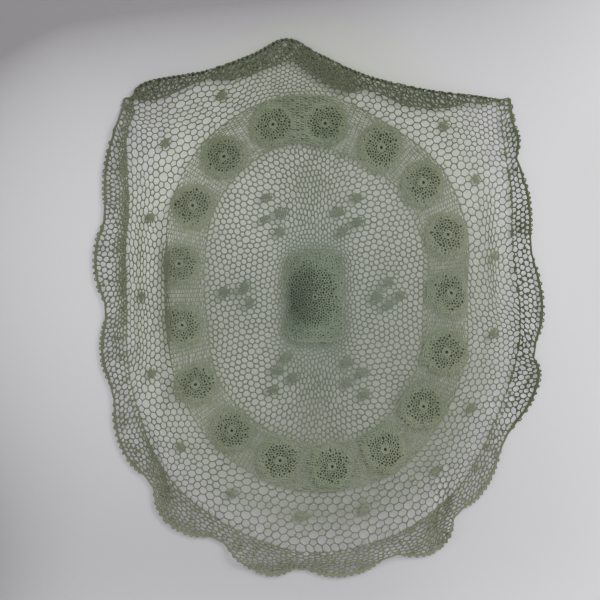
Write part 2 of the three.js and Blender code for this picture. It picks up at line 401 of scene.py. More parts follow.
# Half a millimetre to the right and upwards, to measure the slope over.
SLOPE_STEP = np.array([[0.5, 0.0], [0.0, 0.5]])


def on_front(point):
    """Places and normals in space of points of the front view, on the cloth inside its border."""
    slope = [stand_off(point + d) - stand_off(point - d) for d in SLOPE_STEP]
    normal = unit(np.stack([-slope[0], -np.ones(slope[0].shape), -slope[1]], axis=-1))
    return in_space(point, 0), normal


SMALLEST_ARC = 1e-6


def border_surface(sector, share):
    """The border from the net's edge, share 0, to the hem, share 1. Where it is turned over, it
    rounds the turn on a half circle before it hangs down in front."""
    turn, edge = net_edge(sector), hem_line(sector)
    turned = between_corners(sector, -TURN_FADE, TURN_FADE)
    rounding = math.pi * TURN_RADIUS * turned
    arc = rounding / (np.linalg.norm(edge - turn, axis=-1) + rounding)
    angle = np.pi * turned * np.clip(share / np.maximum(arc, SMALLEST_ARC), 0, 1) * (arc > 0)
    outwards = unit(turn - round_curve(RING_OUTER_POINTS, sector))
    flat = mix(turn, edge, np.maximum(0, share - arc) / (1 - arc))
    point = flat + outwards * (TURN_RADIUS * np.sin(angle))[..., None]
    behind = stand_off(flat) - stand_off(point)
    return in_space(point, TURN_RADIUS * (1 - np.cos(angle)) + behind * turned)


class HungCloth:
    """The middle surface of the hung cloth, for whole arrays of worked places.

    A place has a sector and a ring. The ring is a whole number at the lines named above, and
    grows evenly with the length of cloth in between, but faster where the work is close. The
    surface is kept as a fine grid, and a place between its points is worked out from the four
    round it.
    """

    def __init__(self):
        sector = np.arange(SECTORS * COLUMNS_PER_SECTOR, dtype=float) / COLUMNS_PER_SECTOR
        share = np.linspace(0, 1, ROWS_PER_ZONE + 1)
        s, t = np.meshgrid(sector, share, indexing="ij")
        lines = [
            np.broadcast_to(MEDALLION_CENTRE, s.shape + (2,)),
            medallion_edge(s),
            round_curve(RING_INNER_POINTS, s),
            round_curve(RING_OUTER_POINTS, s),
            net_edge(s),
        ]
        zones = [in_space(mix(a, b, t), 0) for a, b in zip(lines, lines[1:])]
        zones.append(border_surface(s, t))
        even = [self.spaced_evenly(zone, share) for zone in zones]
        self.zone_length = np.stack([length for _, length in even])
        self.points = np.concatenate([even[0][0][:, :1]] + [z[:, 1:] for z, _ in even], axis=1)
        around = np.roll(self.points, -1, axis=0) - np.roll(self.points, 1, axis=0)
        outwards = np.gradient(self.points, axis=1)
        normals = unit(np.cross(around, outwards))
        normals[:, 0] = unit(normals[:, 1].mean(axis=0))
        self.normals = normals

    @staticmethod
    def spaced_evenly(zone, share):
        """Each column of a zone with its points moved to equal steps of its length, which
        counts for more where the work is close."""
        middles = (zone[:, 1:] + zone[:, :-1])[..., ::2] / 2
        steps = np.linalg.norm(np.diff(zone, axis=1), axis=2) * closeness(middles)
        run = np.concatenate([np.zeros((len(zone), 1)), np.cumsum(steps, axis=1)], axis=1)
        length = run[:, -1]
        target = length[:, None] * share
        k = np.clip((run[:, None, :] <= target[:, :, None]).sum(axis=2) - 1, 0, len(share) - 2)
        low = np.take_along_axis(run, k, axis=1)
        high = np.take_along_axis(run, k + 1, axis=1)
        t = np.clip((target - low) / np.maximum(high - low, TINY), 0, 1)
        index = k[..., None]
        start = np.take_along_axis(zone, np.repeat(index, 3, axis=2), axis=1)
        end = np.take_along_axis(zone, np.repeat(index + 1, 3, axis=2), axis=1)
        return start + (end - start) * t[..., None], length

    def at(self, sector, ring, lift=0.0):
        """Places and normals of the surface in millimetres, raised to the front by lift."""
        sector, ring = np.broadcast_arrays(np.asarray(sector, float), np.asarray(ring, float))
        column = (sector % SECTORS) * COLUMNS_PER_SECTOR
        row = np.clip(ring, 0, HEM) * ROWS_PER_ZONE
        i = np.floor(column).astype(int)
        j = np.minimum(np.floor(row).astype(int), self.points.shape[1] - 2)
        u, v = (column - i)[..., None], (row - j)[..., None]
        i, after = i % len(self.points), (i + 1) % len(self.points)
        found = []
        for grid in (self.points, self.normals):
            low = grid[i, j] * (1 - u) + grid[after, j] * u
            high = grid[i, j + 1] * (1 - u) + grid[after, j + 1] * u
            found.append(low * (1 - v) + high * v)
        normal = unit(found[1])
        return found[0] + normal * np.asarray(lift, float)[..., None], normal

    def length_of(self, zone, sector):
        """The length of cloth across one zone, in millimetres."""
        column = (np.asarray(sector, float) % SECTORS) * COLUMNS_PER_SECTOR
        return np.interp(column, np.arange(self.points.shape[0]), self.zone_length[zone],
                         period=self.points.shape[0])

    def sector_width(self, sector, ring):
        """The length of cloth across one sector, in millimetres, as twice that of its middle
        half."""
        before, _ = self.at(np.asarray(sector) - 0.25, ring)
        after, _ = self.at(np.asarray(sector) + 0.25, ring)
        return 2 * np.linalg.norm(after - before, axis=-1)


@functools.cache
def hung_cloth():
    """The hung surface, worked out once."""
    return HungCloth()


# Strands and meshes


class Work:
    """Gathers the faces of one piece, as whole arrays, and makes its mesh."""

    def __init__(self):
        self.points, self.faces, self.maps, self.count = [], [], [], 0

    def add(self, points, faces):
        """Adds points in millimetres, and faces as (corners, map) arrays of equal-sided faces."""
        self.points.append(points.reshape(-1, 3))
        for corners, place in faces:
            self.faces.append(corners + self.count)
            self.maps.append(place)
        self.count += len(self.points[-1])

    def strands(self, path, normal, across, thick, sides=6, closed=False):
        """Tubes along many paths at once: at each point of a path an ellipse of half-width
        across and half-height thick, square to the path and lying flat on the cloth.

        path and normal have the shape (strands, points, 3). The ends are closed by flat caps.
        """
        strands, count = path.shape[:2]
        across = np.broadcast_to(np.asarray(across, float), (strands, count))
        thick = np.broadcast_to(np.asarray(thick, float), (strands, count))
        if closed:
            ahead = np.roll(path, -1, axis=1) - np.roll(path, 1, axis=1)
        else:
            ahead = np.gradient(path, axis=1)
        ahead = unit(ahead)
        side = unit(np.cross(ahead, normal))
        up = np.cross(side, ahead)
        angle = 2 * np.pi * np.arange(sides) / sides
        rings = (
            path[:, :, None]
            + side[:, :, None] * (across[..., None] * np.cos(angle))[..., None]
            + up[:, :, None] * (thick[..., None] * np.sin(angle))[..., None]
        )
        index = np.arange(strands * count * sides).reshape(strands, count, sides)
        if closed:
            start, end = index, np.roll(index, -1, axis=1)
            step = np.linalg.norm(np.roll(path, -1, axis=1) - path, axis=2)
        else:
            start, end = index[:, :-1], index[:, 1:]
            step = np.linalg.norm(np.diff(path, axis=1), axis=2)
        run = np.concatenate([np.zeros((strands, 1)), np.cumsum(step, axis=1)], axis=1)
        corners = np.stack(
            [start, end, np.roll(end, -1, axis=2), np.roll(start, -1, axis=2)], axis=-1
        )
        low = np.broadcast_to(run[:, :-1, None], start.shape)
        high = np.broadcast_to(run[:, 1:, None], start.shape)
        turn = np.broadcast_to(np.arange(sides) / sides, start.shape)
        place = np.stack(
            [
                np.stack([low, turn], axis=-1),
                np.stack([high, turn], axis=-1),
                np.stack([high, turn + 1 / sides], axis=-1),
                np.stack([low, turn + 1 / sides], axis=-1),
            ],
            axis=-2,
        )
        faces = [(corners.reshape(-1, 4), place.reshape(-1, 4, 2))]
        if not closed:
            ends = np.concatenate([index[:, 0], index[:, -1, ::-1]])
            faces.append((ends, np.zeros(ends.shape + (2,))))
        self.add(rings, faces)

    def object(self, name, material):
        """The mesh as an object at the origin, in metres, riding on the cloth's body."""
        points = np.concatenate(self.points) * MM
        mesh = bpy.data.meshes.new(name)
        mesh.vertices.add(len(points))
        mesh.vertices.foreach_set("co", points.astype(np.float32).ravel())
        corners = np.concatenate([f.ravel() for f in self.faces]).astype(np.int32)
        sizes = np.concatenate([np.full(len(f), f.shape[1]) for f in self.faces]).astype(np.int32)
        starts = np.concatenate([[0], np.cumsum(sizes)[:-1]]).astype(np.int32)
        mesh.loops.add(len(corners))
        mesh.loops.foreach_set("vertex_index", corners)
        mesh.polygons.add(len(sizes))
        mesh.polygons.foreach_set("loop_start", starts)
        mesh.polygons.foreach_set("loop_total", sizes)
        mesh.polygons.foreach_set("use_smooth", np.ones(len(sizes), bool))
        uv = mesh.uv_layers.new(name="strand")
        place = np.concatenate([m.reshape(-1, 2) for m in self.maps]) * np.array([MM, 1])
        uv.data.foreach_set("uv", place.astype(np.float32).ravel())
        mesh.update()
        mesh.validate()
        piece = bpy.data.objects.new(name, mesh)
        mesh.materials.append(material)
        bpy.context.scene.collection.objects.link(piece)
        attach(piece, "root")
        return piece


END_MIDDLE_END = np.array([0.0, 0.5, 1.0])

# The half-width of a stitch as a share of the room it has, so that stitches overlap a little.
STITCH_SHARE = 0.56

# A lump: its half-width at its ends and middle, how far the ends are from the middle, both in
# lump sizes, and how thick it is for its width.
LUMP_PROFILE = np.array([0.55, 1.0, 0.55])
LUMP_ENDS = np.array([-0.8, 0.0, 0.8])
LUMP_FLATNESS = 0.75


def posts(work, cloth, start, end, across, thick, sides=5, narrow=0.8):
    """Stitches from start to end, each a (sector, ring) pair of arrays: a straight strand that
    swells in its middle by 1 over narrow."""
    sector = start[0][:, None] + (end[0] - start[0])[:, None] * END_MIDDLE_END
    ring = start[1][:, None] + (end[1] - start[1])[:, None] * END_MIDDLE_END
    path, normal = cloth.at(sector, ring)
    profile = np.array([narrow, 1.0, narrow])
    across = np.broadcast_to(np.asarray(across, float), start[0].shape)
    work.strands(path, normal, across[:, None] * profile, thick * profile, sides)


def lumps(work, middle, normal, size):
    """Small round lumps where strands cross: a short level strand, thick in its middle."""
    along = unit(np.cross(normal, (0.0, 0.0, 1.0)))
    size = np.broadcast_to(np.asarray(size, float), middle.shape[:1])[:, None]
    path = middle[:, None] + along[:, None] * (LUMP_ENDS * size)[..., None]
    profile = LUMP_PROFILE * size
    normals = np.repeat(normal[:, None], 3, axis=1)
    work.strands(path, normals, profile, profile * LUMP_FLATNESS, 4)


# How far the first row of sites lies from an edge, and the least gap between that row and the
# strewn sites, both in cells.
ROW_OFFSET, ROW_GAP = 0.43, 0.7

# How many steps even the honeycomb out, and how many of them recount its sites, and how often.
HONEYCOMB_STEPS, COUNTING_STEPS, COUNT_EVERY = 100, 70, 5

# The area of a site's star of triangles below which it crowds, and of a triangle above which it
# is too wide, as shares of those in an even honeycomb.
CROWDED_STAR, WIDE_TRIANGLE = 0.8, 1.5

# The root of x^4 = x + 1. Multiples of its inverse powers are spread evenly over a box.
SPREAD_RATIO = 1.2207440846
TRIANGLE_HEIGHT = math.sqrt(0.75)
CLOSEST_POINTS = 1e-6


def sites_beside(curve, size_at, side):
    """Sites along a closed curve, a cell apart and nearly half a cell to its given side, and
    their mirror images on the other side."""
    ahead = np.roll(curve, -1, axis=0)
    steps = np.linalg.norm(ahead - curve, axis=1) / size_at((curve + ahead) / 2)
    run = np.concatenate([[0.0], np.cumsum(steps)])
    number = int(round(run[-1]))
    target = (np.arange(number) + 0.5) / number * run[-1]
    wrapped = np.concatenate([curve, curve[:1]])
    place = np.stack([np.interp(target, run, wrapped[:, i]) for i in (0, 1)], axis=1)
    along = unit(np.roll(place, -1, axis=0) - np.roll(place, 1, axis=0))
    aside = np.stack([-along[:, 1], along[:, 0]], axis=1) * side
    reach = ROW_OFFSET * size_at(place)[:, None]
    return place + aside * reach, place - aside * reach


def inside(curve, point):
    """Whether points lie inside a closed curve: a level ray to the right of one crosses it an
    odd number of times."""
    ahead = np.roll(curve, -1, axis=0)
    x, z = point[:, None, 0], point[:, None, 1]
    crosses = (curve[:, 1] > z) != (ahead[:, 1] > z)
    rise = np.where(ahead[:, 1] == curve[:, 1], 1.0, ahead[:, 1] - curve[:, 1])
    where = curve[:, 0] + (z - curve[:, 1]) / rise * (ahead[:, 0] - curve[:, 0])
    return (crosses & (x < where)).sum(axis=1) % 2 == 1


def triangles_between(points):
    """The Delaunay triangles of points of a plane."""
    found = delaunay_2d_cdt([Vector(p) for p in points.tolist()], [], [], 0, CLOSEST_POINTS)
    source = np.array([near[0] for near in found[3]])
    return source[np.array(found[2])]


def recounted(free, rows, number, corners, middle, share):
    """The free sites without those whose star of triangles is the smallest about and too small,
    and with new ones in triangles that are the widest about and too wide. share is twice each
    triangle's area over the square of a cell's width."""
    share = share / TRIANGLE_HEIGHT
    star, widest = np.zeros(number), np.zeros(number)
    np.add.at(star, corners, share[:, None] / 6)
    np.maximum.at(widest, corners, share[:, None])
    smallest = np.full(number, np.inf)
    np.minimum.at(smallest, corners, star[corners].min(axis=1)[:, None])
    here = slice(0, len(free))
    crowded = (star[here] < CROWDED_STAR) & (star[here] <= smallest[here])
    wide = (share > WIDE_TRIANGLE) & (share[:, None] >= widest[corners]).all(axis=1)
    wide = wide & (corners < len(free) + rows).all(axis=1)
    return np.concatenate([free[~crowded], middle[wide]])


def honeycomb(inner, outer, size_at):
    """An even honeycomb between two closed clockwise curves of a plane: its corners, and the
    pairs of corners that a strand joins. size_at gives the width of a cell at a place.

    Sites are strewn evenly, then moved step by step to the middle of their neighbours, and now
    and then taken out where they crowd and added where they lie far apart. Each strand of the
    honeycomb parts two neighbouring sites.
    """
    inner_row, inner_mirror = sites_beside(inner, size_at, 1)
    outer_row, outer_mirror = sites_beside(outer, size_at, -1)
    rows = np.concatenate([inner_row, outer_row])
    low, high = outer.min(axis=0), outer.max(axis=0)
    least = size_at(outer).min()
    area = np.prod(high - low)
    number = int(area / (TRIANGLE_HEIGHT * least**2))
    turn = np.arange(1, number + 1)[:, None] / SPREAD_RATIO ** np.arange(1, 4) % 1
    strewn = low + (high - low) * turn[:, :2]
    size = size_at(strewn)
    strewn = strewn[(turn[:, 2] < (least / size) ** 2) & inside(outer, strewn)]
    strewn = strewn[~inside(inner, strewn)]
    gap = np.linalg.norm(strewn[:, None] - rows[None], axis=2).min(axis=1)
    free = strewn[gap > ROW_GAP * size_at(strewn)]
    fixed = np.concatenate([rows, inner_mirror, outer_mirror])
    for step in range(HONEYCOMB_STEPS):
        points = np.concatenate([free, fixed])
        corners = triangles_between(points)
        a, b, c = points[corners[:, 0]], points[corners[:, 1]], points[corners[:, 2]]
        cross = np.abs((b - a)[:, 0] * (c - a)[:, 1] - (b - a)[:, 1] * (c - a)[:, 0])
        middle = (a + b + c) / 3
        size = size_at(middle)
        weight = cross / size**4
        pull, total = np.zeros(points.shape), np.zeros(len(points))
        np.add.at(pull, corners, (middle * weight[:, None])[:, None])
        np.add.at(total, corners, weight[:, None])
        free = pull[: len(free)] / total[: len(free), None]
        if step < COUNTING_STEPS and step % COUNT_EVERY == 0:
            free = recounted(free, len(rows), len(points), corners, middle, cross / size**2)
    real = len(free) + len(rows)
    points = np.concatenate([free, fixed])
    corners = triangles_between(points)
    corners = corners[(corners < real).any(axis=1)]
    sides = np.sort(corners[:, [[0, 1], [1, 2], [2, 0]]], axis=2).reshape(-1, 2)
    owner = np.repeat(np.arange(len(corners)), 3)
    order = np.lexsort((sides[:, 1], sides[:, 0]))
    sides, owner = sides[order], owner[order]
    shared = (sides[1:] == sides[:-1]).all(axis=1) & (sides[1:, 0] < real)
    return points[corners].mean(axis=1), np.stack([owner[:-1][shared], owner[1:][shared]], axis=1)


KNOT_SIZE = 1.3
UNEVEN_YARN = 0.15
YARN_LIMITS = (0.6, 1.5)
CORD_BUMPS, CORD_FLATNESS = 0.12, 0.9


def lay_honeycomb(work, corners, pairs, lay, strand, knot, seed, uneven=UNEVEN_YARN):
    """Lays the strands of a honeycomb on the cloth, and a lump on every corner where knot, its
    size in strands, is not 0. lay turns points of its plane into places and normals in space,
    and strand is the half-width of all strands or of each."""
    rng = np.random.default_rng(seed)
    path, normal = lay(corners[pairs])
    strand = np.broadcast_to(strand, len(pairs))[:, None]
    size = strand * (1 + rng.normal(0, uneven, (len(pairs), 2))).clip(*YARN_LIMITS)
    work.strands(path, normal, size, size, 4)
    knot = np.broadcast_to(knot, len(corners))
    there = knot > 0
    size = strand.mean() * knot * (1 + rng.normal(0, uneven, len(corners))).clip(*YARN_LIMITS)
    if there.any():
        lumps(work, *lay(corners[there]), size[there])


def cord(work, cloth, sector, ring, size):
    """A closed chain of stitches through places of the cloth: every second point of it is
    thicker by a share, and every other one thinner."""
    path, normal = cloth.at(sector, ring)
    radius = np.asarray(size) * (1 + CORD_BUMPS * np.cos(np.pi * np.arange(len(path))))
    thick = radius * CORD_FLATNESS
    work.strands(path[None], normal[None], radius[None], thick[None], closed=True)


# Motifs worked in the round

# The motifs from the middle out: the radius of the centre hole and of the close round about it,
# the width of a cell of the open lace, how much wider it is where the lace closes up, the
# strands in the open part, how far they grow where it closes up, and the ribs of the close back.
ROSETTE = {"hole": 4.2, "close": 8.2, "cell": 5.1, "wider": 0.2, "strand": 1.3, "closed": 0.55,
           "ribs": 48}

# How far a rosette's lace and its back reach from its middle, how far from there the lace is
# still open and where it is closed, and where that ends at the rim.
ROSETTE_REACH = 43.0
ROSETTE_BACK = 36.0
ROSETTE_OPEN = {"open": 19.0, "closed": 37.0, "rim": 44.0}
ROSETTE_UNEVEN = 0.05
MEDALLION_MOTIF = {"hole": 3.4, "close": 5.4, "cell": 5.1, "wider": 0.0, "strand": 1.1,
                   "closed": 0.9, "ribs": 72}
MEDALLION_LACE = {"aside": -6.0, "half_width": 50.0, "half_height": 62.0, "squareness": 2.4}
MEDALLION_OPEN = {"open": 0.72, "closed": 1.12}
MEDALLION_BACK = 0.97

# The lace: how far its corners stray, in cells, how uneven its strands are, and how many points
# its edges have.
LACE_JITTER = 0.14
LACE_UNEVEN = 0.3
LACE_POINTS = 120

# The close round about a centre hole: the half-width of its cords, their points, and its
# stitches.
HOLE_CORD = {"size": 1.16, "inner_points": 20, "outer_points": 30}
CLOSE_ROUND = {"stitches": 22, "thick": 1.25, "narrow": 0.85}

# The close back: how far it is raised from the cloth's middle, where less than 0 is towards the
# wall, half its thickness, the height of its ribs, how uneven its rim is and within which
# shares, and the rings of points across it, as shares of its rim.
BACK = {"lift": -3.2, "thick": 0.6, "rib": 0.35, "uneven": 0.06, "limits": (0.8, 1.02)}
SHARES_OF_BACK = (0.004, 0.34, 0.67, 1.0)

# Where a strand's flanks, which take the painted shade in full, and its crown, which takes none,
# lie on its map.
SHADED_FLANK, CROWN = 0.75, 0.25


def polar(cloth, k, share):
    """A function that turns (angle, millimetres from the centre of rosette k) into a place, also
    past the edges of the ring."""
    zones = (MEDALLION_EDGE, RING_INNER, RING_OUTER)
    net, ring, outer = [float(cloth.length_of(zone, k)) for zone in zones]

    def place(angle, reach):
        out = share * ring + reach * np.sin(angle)
        steps = np.where(out < 0, out / net, np.minimum(out / ring, 1))
        places = RING_INNER + steps + np.maximum(out - ring, 0) / outer
        width = cloth.sector_width(np.full(places.shape, float(k)), places)
        return k + reach * np.cos(angle) / width, places

    return place


def even_angles(number):
    """So many angles, evenly spaced."""
    return 2 * np.pi * np.arange(number) / number


def at_reach(reach):
    """A distance from the middle that is the same at every angle."""
    return lambda angle: np.full(np.shape(angle), float(reach))


def close_round(work, cloth, place, inner, outer):
    """Stitches side by side between two distances from the middle."""
    number = CLOSE_ROUND["stitches"]
    angle = even_angles(number)
    start, end = at_reach(inner)(angle), at_reach(outer)(angle)
    across = np.pi * (start + end) / number * STITCH_SHARE
    posts(work, cloth, place(angle, start), place(angle, end), across, CLOSE_ROUND["thick"],
          narrow=CLOSE_ROUND["narrow"])


def round_cord(work, cloth, place, reach, points):
    """A cord round a motif at a distance from its middle."""
    angle = even_angles(points)
    cord(work, cloth, *place(angle, at_reach(reach)(angle)), HOLE_CORD["size"])


def lace_honeycomb(sizes, edge, closing):
    """The honeycomb between a motif's close round and its edge, in the motif's own plane."""
    angle = -even_angles(LACE_POINTS)
    way = np.stack([np.cos(angle), np.sin(angle)], axis=1)
    return honeycomb(way * sizes["close"], way * edge(angle)[:, None],
                     lambda point: sizes["cell"] * (1 + sizes["wider"] * closing(point)))


def lace_motif(work, cloth, place, sizes, lace, closing, seed):
    """A close round about a centre hole, and open lace round it whose strands are thicker by the
    share closing gives for points of the motif's plane."""
    hole, close = sizes["hole"], sizes["close"]
    round_cord(work, cloth, place, hole, HOLE_CORD["inner_points"])
    close_round(work, cloth, place, hole, close)
    round_cord(work, cloth, place, close, HOLE_CORD["outer_points"])
    rng = np.random.default_rng(seed)
    corners, pairs = lace
    corners = corners + rng.normal(0, LACE_JITTER * sizes["cell"], corners.shape)

    def lay(point):
        return cloth.at(*place(np.arctan2(point[..., 1], point[..., 0]),
                               np.linalg.norm(point, axis=-1)))

    strand = sizes["strand"] * (1 + sizes["closed"] * closing(corners[pairs].mean(axis=1)))
    lay_honeycomb(work, corners, pairs, lay, strand, 0, seed, LACE_UNEVEN)


def close_back(work, cloth, place, edge, ribs, seed):
    """The close-worked back of a motif: a thin closed shell behind the lace, out to an uneven
    rim, with ribs that rise and fall by cos(n a) along the angle a. Its front is mapped to a
    strand's flanks, so that it takes their painted shade in full and darkens the lace's holes as
    shade would; its back is mapped to a strand's crown."""
    rng = np.random.default_rng(seed)
    steps = 2 * ribs
    angle = even_angles(steps)
    rim = edge(angle) * (1 + rng.normal(0, BACK["uneven"], steps)).clip(*BACK["limits"])
    rib = BACK["rib"] * np.cos(np.pi * np.arange(steps))
    loop = [(share, 1) for share in SHARES_OF_BACK]
    loop += [(share, -1) for share in SHARES_OF_BACK[::-1]]
    rows = []
    for share, side in loop:
        lift = BACK["lift"] + rib + side * BACK["thick"]
        rows.append(cloth.at(*place(angle, rim * share), lift)[0])
    points = np.stack(rows, axis=1)
    index = np.arange(steps * len(loop)).reshape(steps, len(loop))
    out = np.roll(index, -1, axis=1)
    corners = np.stack([index, out, np.roll(out, -1, axis=0), np.roll(index, -1, axis=0)], axis=-1)
    front = len(SHARES_OF_BACK)
    # The front rows face the lace and take the painted shade in full, which darkens its holes.
    turn = np.where(np.arange(len(loop)) < front, SHADED_FLANK, CROWN)
    along = np.array([share for share, _ in loop]) * float(np.mean(rim))
    maps = np.stack(np.broadcast_arrays(along[None, :, None], turn[None, :, None]), axis=-1)
    maps = np.broadcast_to(maps, corners.shape + (2,))
    work.add(points, [(corners.reshape(-1, 4), maps.reshape(-1, 4, 2))])


def medallion_place(cloth):
    """A function that turns (angle, millimetres from the cloth's centre) into a place, and one
    that gives the distance of the medallion's edge for each angle."""
    sector = np.arange(SECTORS * COLUMNS_PER_SECTOR + 1) / COLUMNS_PER_SECTOR
    edge, _ = cloth.at(sector, MEDALLION_EDGE)
    centre, _ = cloth.at(0.0, CENTRE)
    heading = np.unwrap(np.arctan2(edge[:, 2] - centre[2], edge[:, 0] - centre[0]))
    clockwise = heading[0] - heading

    def sector_of(angle):
        turned = (heading[0] - angle) / (2 * np.pi)
        whole = np.floor(turned)
        return np.interp((turned - whole) * 2 * np.pi, clockwise, sector) + whole * SECTORS

    def place(angle, reach):
        s = sector_of(angle)
        return s, reach / cloth.length_of(CENTRE, s)

    return place, lambda angle: cloth.length_of(CENTRE, sector_of(angle))


def medallion_closing(point):
    """0 in the open middle of the medallion, growing to 1 across its oval
    |x/a|^n + |y/b|^n = 1."""
    n = MEDALLION_LACE["squareness"]
    across = np.abs((point[..., 0] - MEDALLION_LACE["aside"]) / MEDALLION_LACE["half_width"])
    upwards = np.abs(point[..., 1] / MEDALLION_LACE["half_height"])
    return smooth_step(MEDALLION_OPEN["open"], MEDALLION_OPEN["closed"],
                       (across**n + upwards**n) ** (1 / n))


def make_medallion(work, back, cloth):
    """The oblong middle: lace round the centre hole that closes up towards the edge, and its
    close back."""
    place, edge_reach = medallion_place(cloth)
    lace = lace_honeycomb(MEDALLION_MOTIF, edge_reach, medallion_closing)
    lace_motif(work, cloth, place, MEDALLION_MOTIF, lace, medallion_closing, seed=3)
    close_back(back, cloth, place, lambda angle: edge_reach(angle) * MEDALLION_BACK,
               MEDALLION_MOTIF["ribs"], seed=4)


def rosette_share(cloth, k):
    """How far the centre of rosette k lies across the ring, as a share of the cloth there."""
    ring = np.linspace(RING_INNER, RING_OUTER, ROWS_PER_ZONE + 1)
    points, _ = cloth.at(np.full(ring.shape, float(k)), ring)
    way = points[:, ::2] - points[0, ::2]
    across = np.linalg.norm(way, axis=1)
    return np.interp(SECTOR_TABLE[k]["inward"], across, ring - RING_INNER)


def rosette_closing(point):
    """0 in the open middle of a rosette, growing to 1 and falling again towards its rim."""
    away = np.linalg.norm(point, axis=-1)
    closing = smooth_step(ROSETTE_OPEN["open"], ROSETTE_OPEN["closed"], away)
    return closing * (1 - smooth_step(ROSETTE_OPEN["closed"], ROSETTE_OPEN["rim"], away))


def make_rosettes(work, back, cloth):
    """The rosettes of the ring, each laid on its sector in millimetres of cloth and turned, sized
    and drawn to an oval a little differently by hand: lace round a close round, and a back."""
    rng = np.random.default_rng(90)
    lace = lace_honeycomb(ROSETTE, at_reach(ROSETTE_REACH), rosette_closing)
    for k in range(SECTORS):
        flat_place = polar(cloth, k, rosette_share(cloth, k))
        turn, way = rng.uniform(0, 2 * np.pi, 2)
        size, oval = 1 + rng.normal(0, ROSETTE_UNEVEN / 2), rng.normal(0, ROSETTE_UNEVEN)

        def place(angle, reach):
            return flat_place(angle + turn, reach * size * (1 + oval * np.cos(2 * (angle - way))))

        lace_motif(work, cloth, place, ROSETTE, lace, rosette_closing, 20 + k)
        close_back(back, cloth, place, at_reach(ROSETTE_BACK), ROSETTE["ribs"], seed=50 + k)


# The mesh between the rosettes: the width of its columns, the height of its rows, the half-width
# of its strands, how many columns reach to either side, how far the rows waver, and how uneven
# the strands are and within which shares.
JOIN_COLUMN = 8.6
JOIN_ROW = 4.9
JOIN_STRAND = 1.18
JOIN_REACH = 12
JOIN_WAVER = 0.8
JOIN_UNEVEN, JOIN_LIMITS = 0.22, (0.6, 1.6)

# It starts this far from the middle of a rosette, and is thicker by a share where it is close to
# one. A rail is thicker than a rung by another share, and an edge cord thinner.
JOIN_INSIDE = 33.0
JOIN_CLOSE, JOIN_OPEN, JOIN_MORE = 34.0, 52.0, 0.4
JOIN_RAIL, JOIN_CORD = 1.1, 0.9

# The mesh between the two rosettes at the top is closer worked.
TOP_GAP, TOP_GAP_STRAND = 16, 2.1


def make_joins(work, cloth):
    """The fine mesh that fills the ring between the rosettes, of rails across the ring and
    staggered rungs between them, and a cord along either edge of the ring."""
    rng = np.random.default_rng(60)
    shares = [rosette_share(cloth, k) for k in range(SECTORS)]
    for k in range(SECTORS):
        middle = k + 0.5
        depth = float(cloth.length_of(RING_INNER, middle))
        centre = (shares[k] + shares[(k + 1) % SECTORS]) / 2 * depth

        def lay(x, y):
            ring = RING_INNER + np.clip(y / depth, 0, 1)
            return middle + x / cloth.sector_width(np.full(ring.shape, middle), ring), ring

        def beyond(x, y):
            sector, _ = lay(x, y)
            aside = 0.5 - np.abs(sector - middle)
            width = x / np.where(sector == middle, 1, sector - middle)
            return np.where(aside > 0, np.hypot(aside * width, y - centre), 0)

        column = np.arange(-JOIN_REACH, JOIN_REACH) + 0.25
        row = np.arange(0, depth / JOIN_ROW - 0.5)
        i, j = [a.ravel() for a in np.meshgrid(column, row)]
        x, y = i * JOIN_COLUMN, (j + 0.5 * (np.floor(i) % 2)) * JOIN_ROW
        y = y + rng.normal(0, JOIN_WAVER, y.shape)
        strand = TOP_GAP_STRAND if k == TOP_GAP else JOIN_STRAND
        rung = beyond(x + JOIN_COLUMN / 2, y) > JOIN_INSIDE
        size = strand * (1 + rng.normal(0, JOIN_UNEVEN, x.shape)).clip(*JOIN_LIMITS)
        size = size * (1 + JOIN_MORE * smooth_step(JOIN_OPEN, JOIN_CLOSE, beyond(x, y)))
        posts(work, cloth, lay(x[rung], y[rung]), lay(x[rung] + JOIN_COLUMN, y[rung]),
              size[rung], strand, sides=4)
        rail = beyond(x, y) > JOIN_INSIDE
        posts(work, cloth, lay(x[rail], y[rail]), lay(x[rail], y[rail] + JOIN_ROW),
              size[rail] * JOIN_RAIL, strand, sides=4)
    around = np.arange(SECTORS * COLUMNS_PER_SECTOR) / COLUMNS_PER_SECTOR
    for edge in (RING_INNER, RING_OUTER):
        cord(work, cloth, around, np.full(around.shape, float(edge)), JOIN_STRAND * JOIN_CORD)


# Small solid leaves of the inner net: six groups, the place of each leaf on the hung cloth, its
# length and height, and how far it is tilted.
LEAVES = table(
    "place size tilt",
    ((-40, -318), (27, 16), 0.1),
    ((-10, -348), (33, 22), -0.2),
    ((-44, -362), (24, 15), 0.4),
    ((-14, -386), (26, 20), -0.5),
    ((140, -318), (27, 16), -0.3),
    ((102, -346), (26, 20), 0.2),
    ((142, -366), (30, 18), 0.1),
    ((112, -386), (26, 18), 0.5),
    ((-124, -506), (22, 22), 0.2),
    ((-84, -496), (22, 26), -0.3),
    ((-74, -528), (22, 20), 0.5),
    ((202, -486), (26, 18), -0.2),
    ((180, -516), (26, 22), 0.3),
    ((226, -512), (24, 18), -0.5),
    ((202, -532), (24, 20), 0.1),
    ((0, -636), (26, 20), 0.3),
    ((-20, -662), (30, 18), -0.1),
    ((12, -678), (26, 18), 0.5),
    ((-28, -702), (26, 18), 0.1),
    ((120, -646), (26, 20), -0.3),
    ((152, -666), (30, 18), 0.2),
    ((120, -686), (26, 18), -0.5),
    ((156, -708), (26, 18), 0.0),
)
# Small solid squares of the outer net, halfway between the rosettes.
SQUARES = table(
    "place tilt",
    ((-128, -114), 0.4),
    ((-242, -210), 0.8),
    ((-272, -358), 1.2),
    ((-290, -516), 1.5),
    ((-270, -668), -1.3),
    ((-212, -814), -0.9),
    ((-108, -908), -0.4),
    ((28, -952), -0.1),
    ((154, -942), 0.2),
    ((298, -862), 0.7),
    ((368, -738), 1.0),
    ((412, -588), 1.4),
    ((414, -434), -1.5),
    ((378, -280), -1.1),
    ((314, -174), -0.6),
)
SQUARE_SIZE = (24, 17)

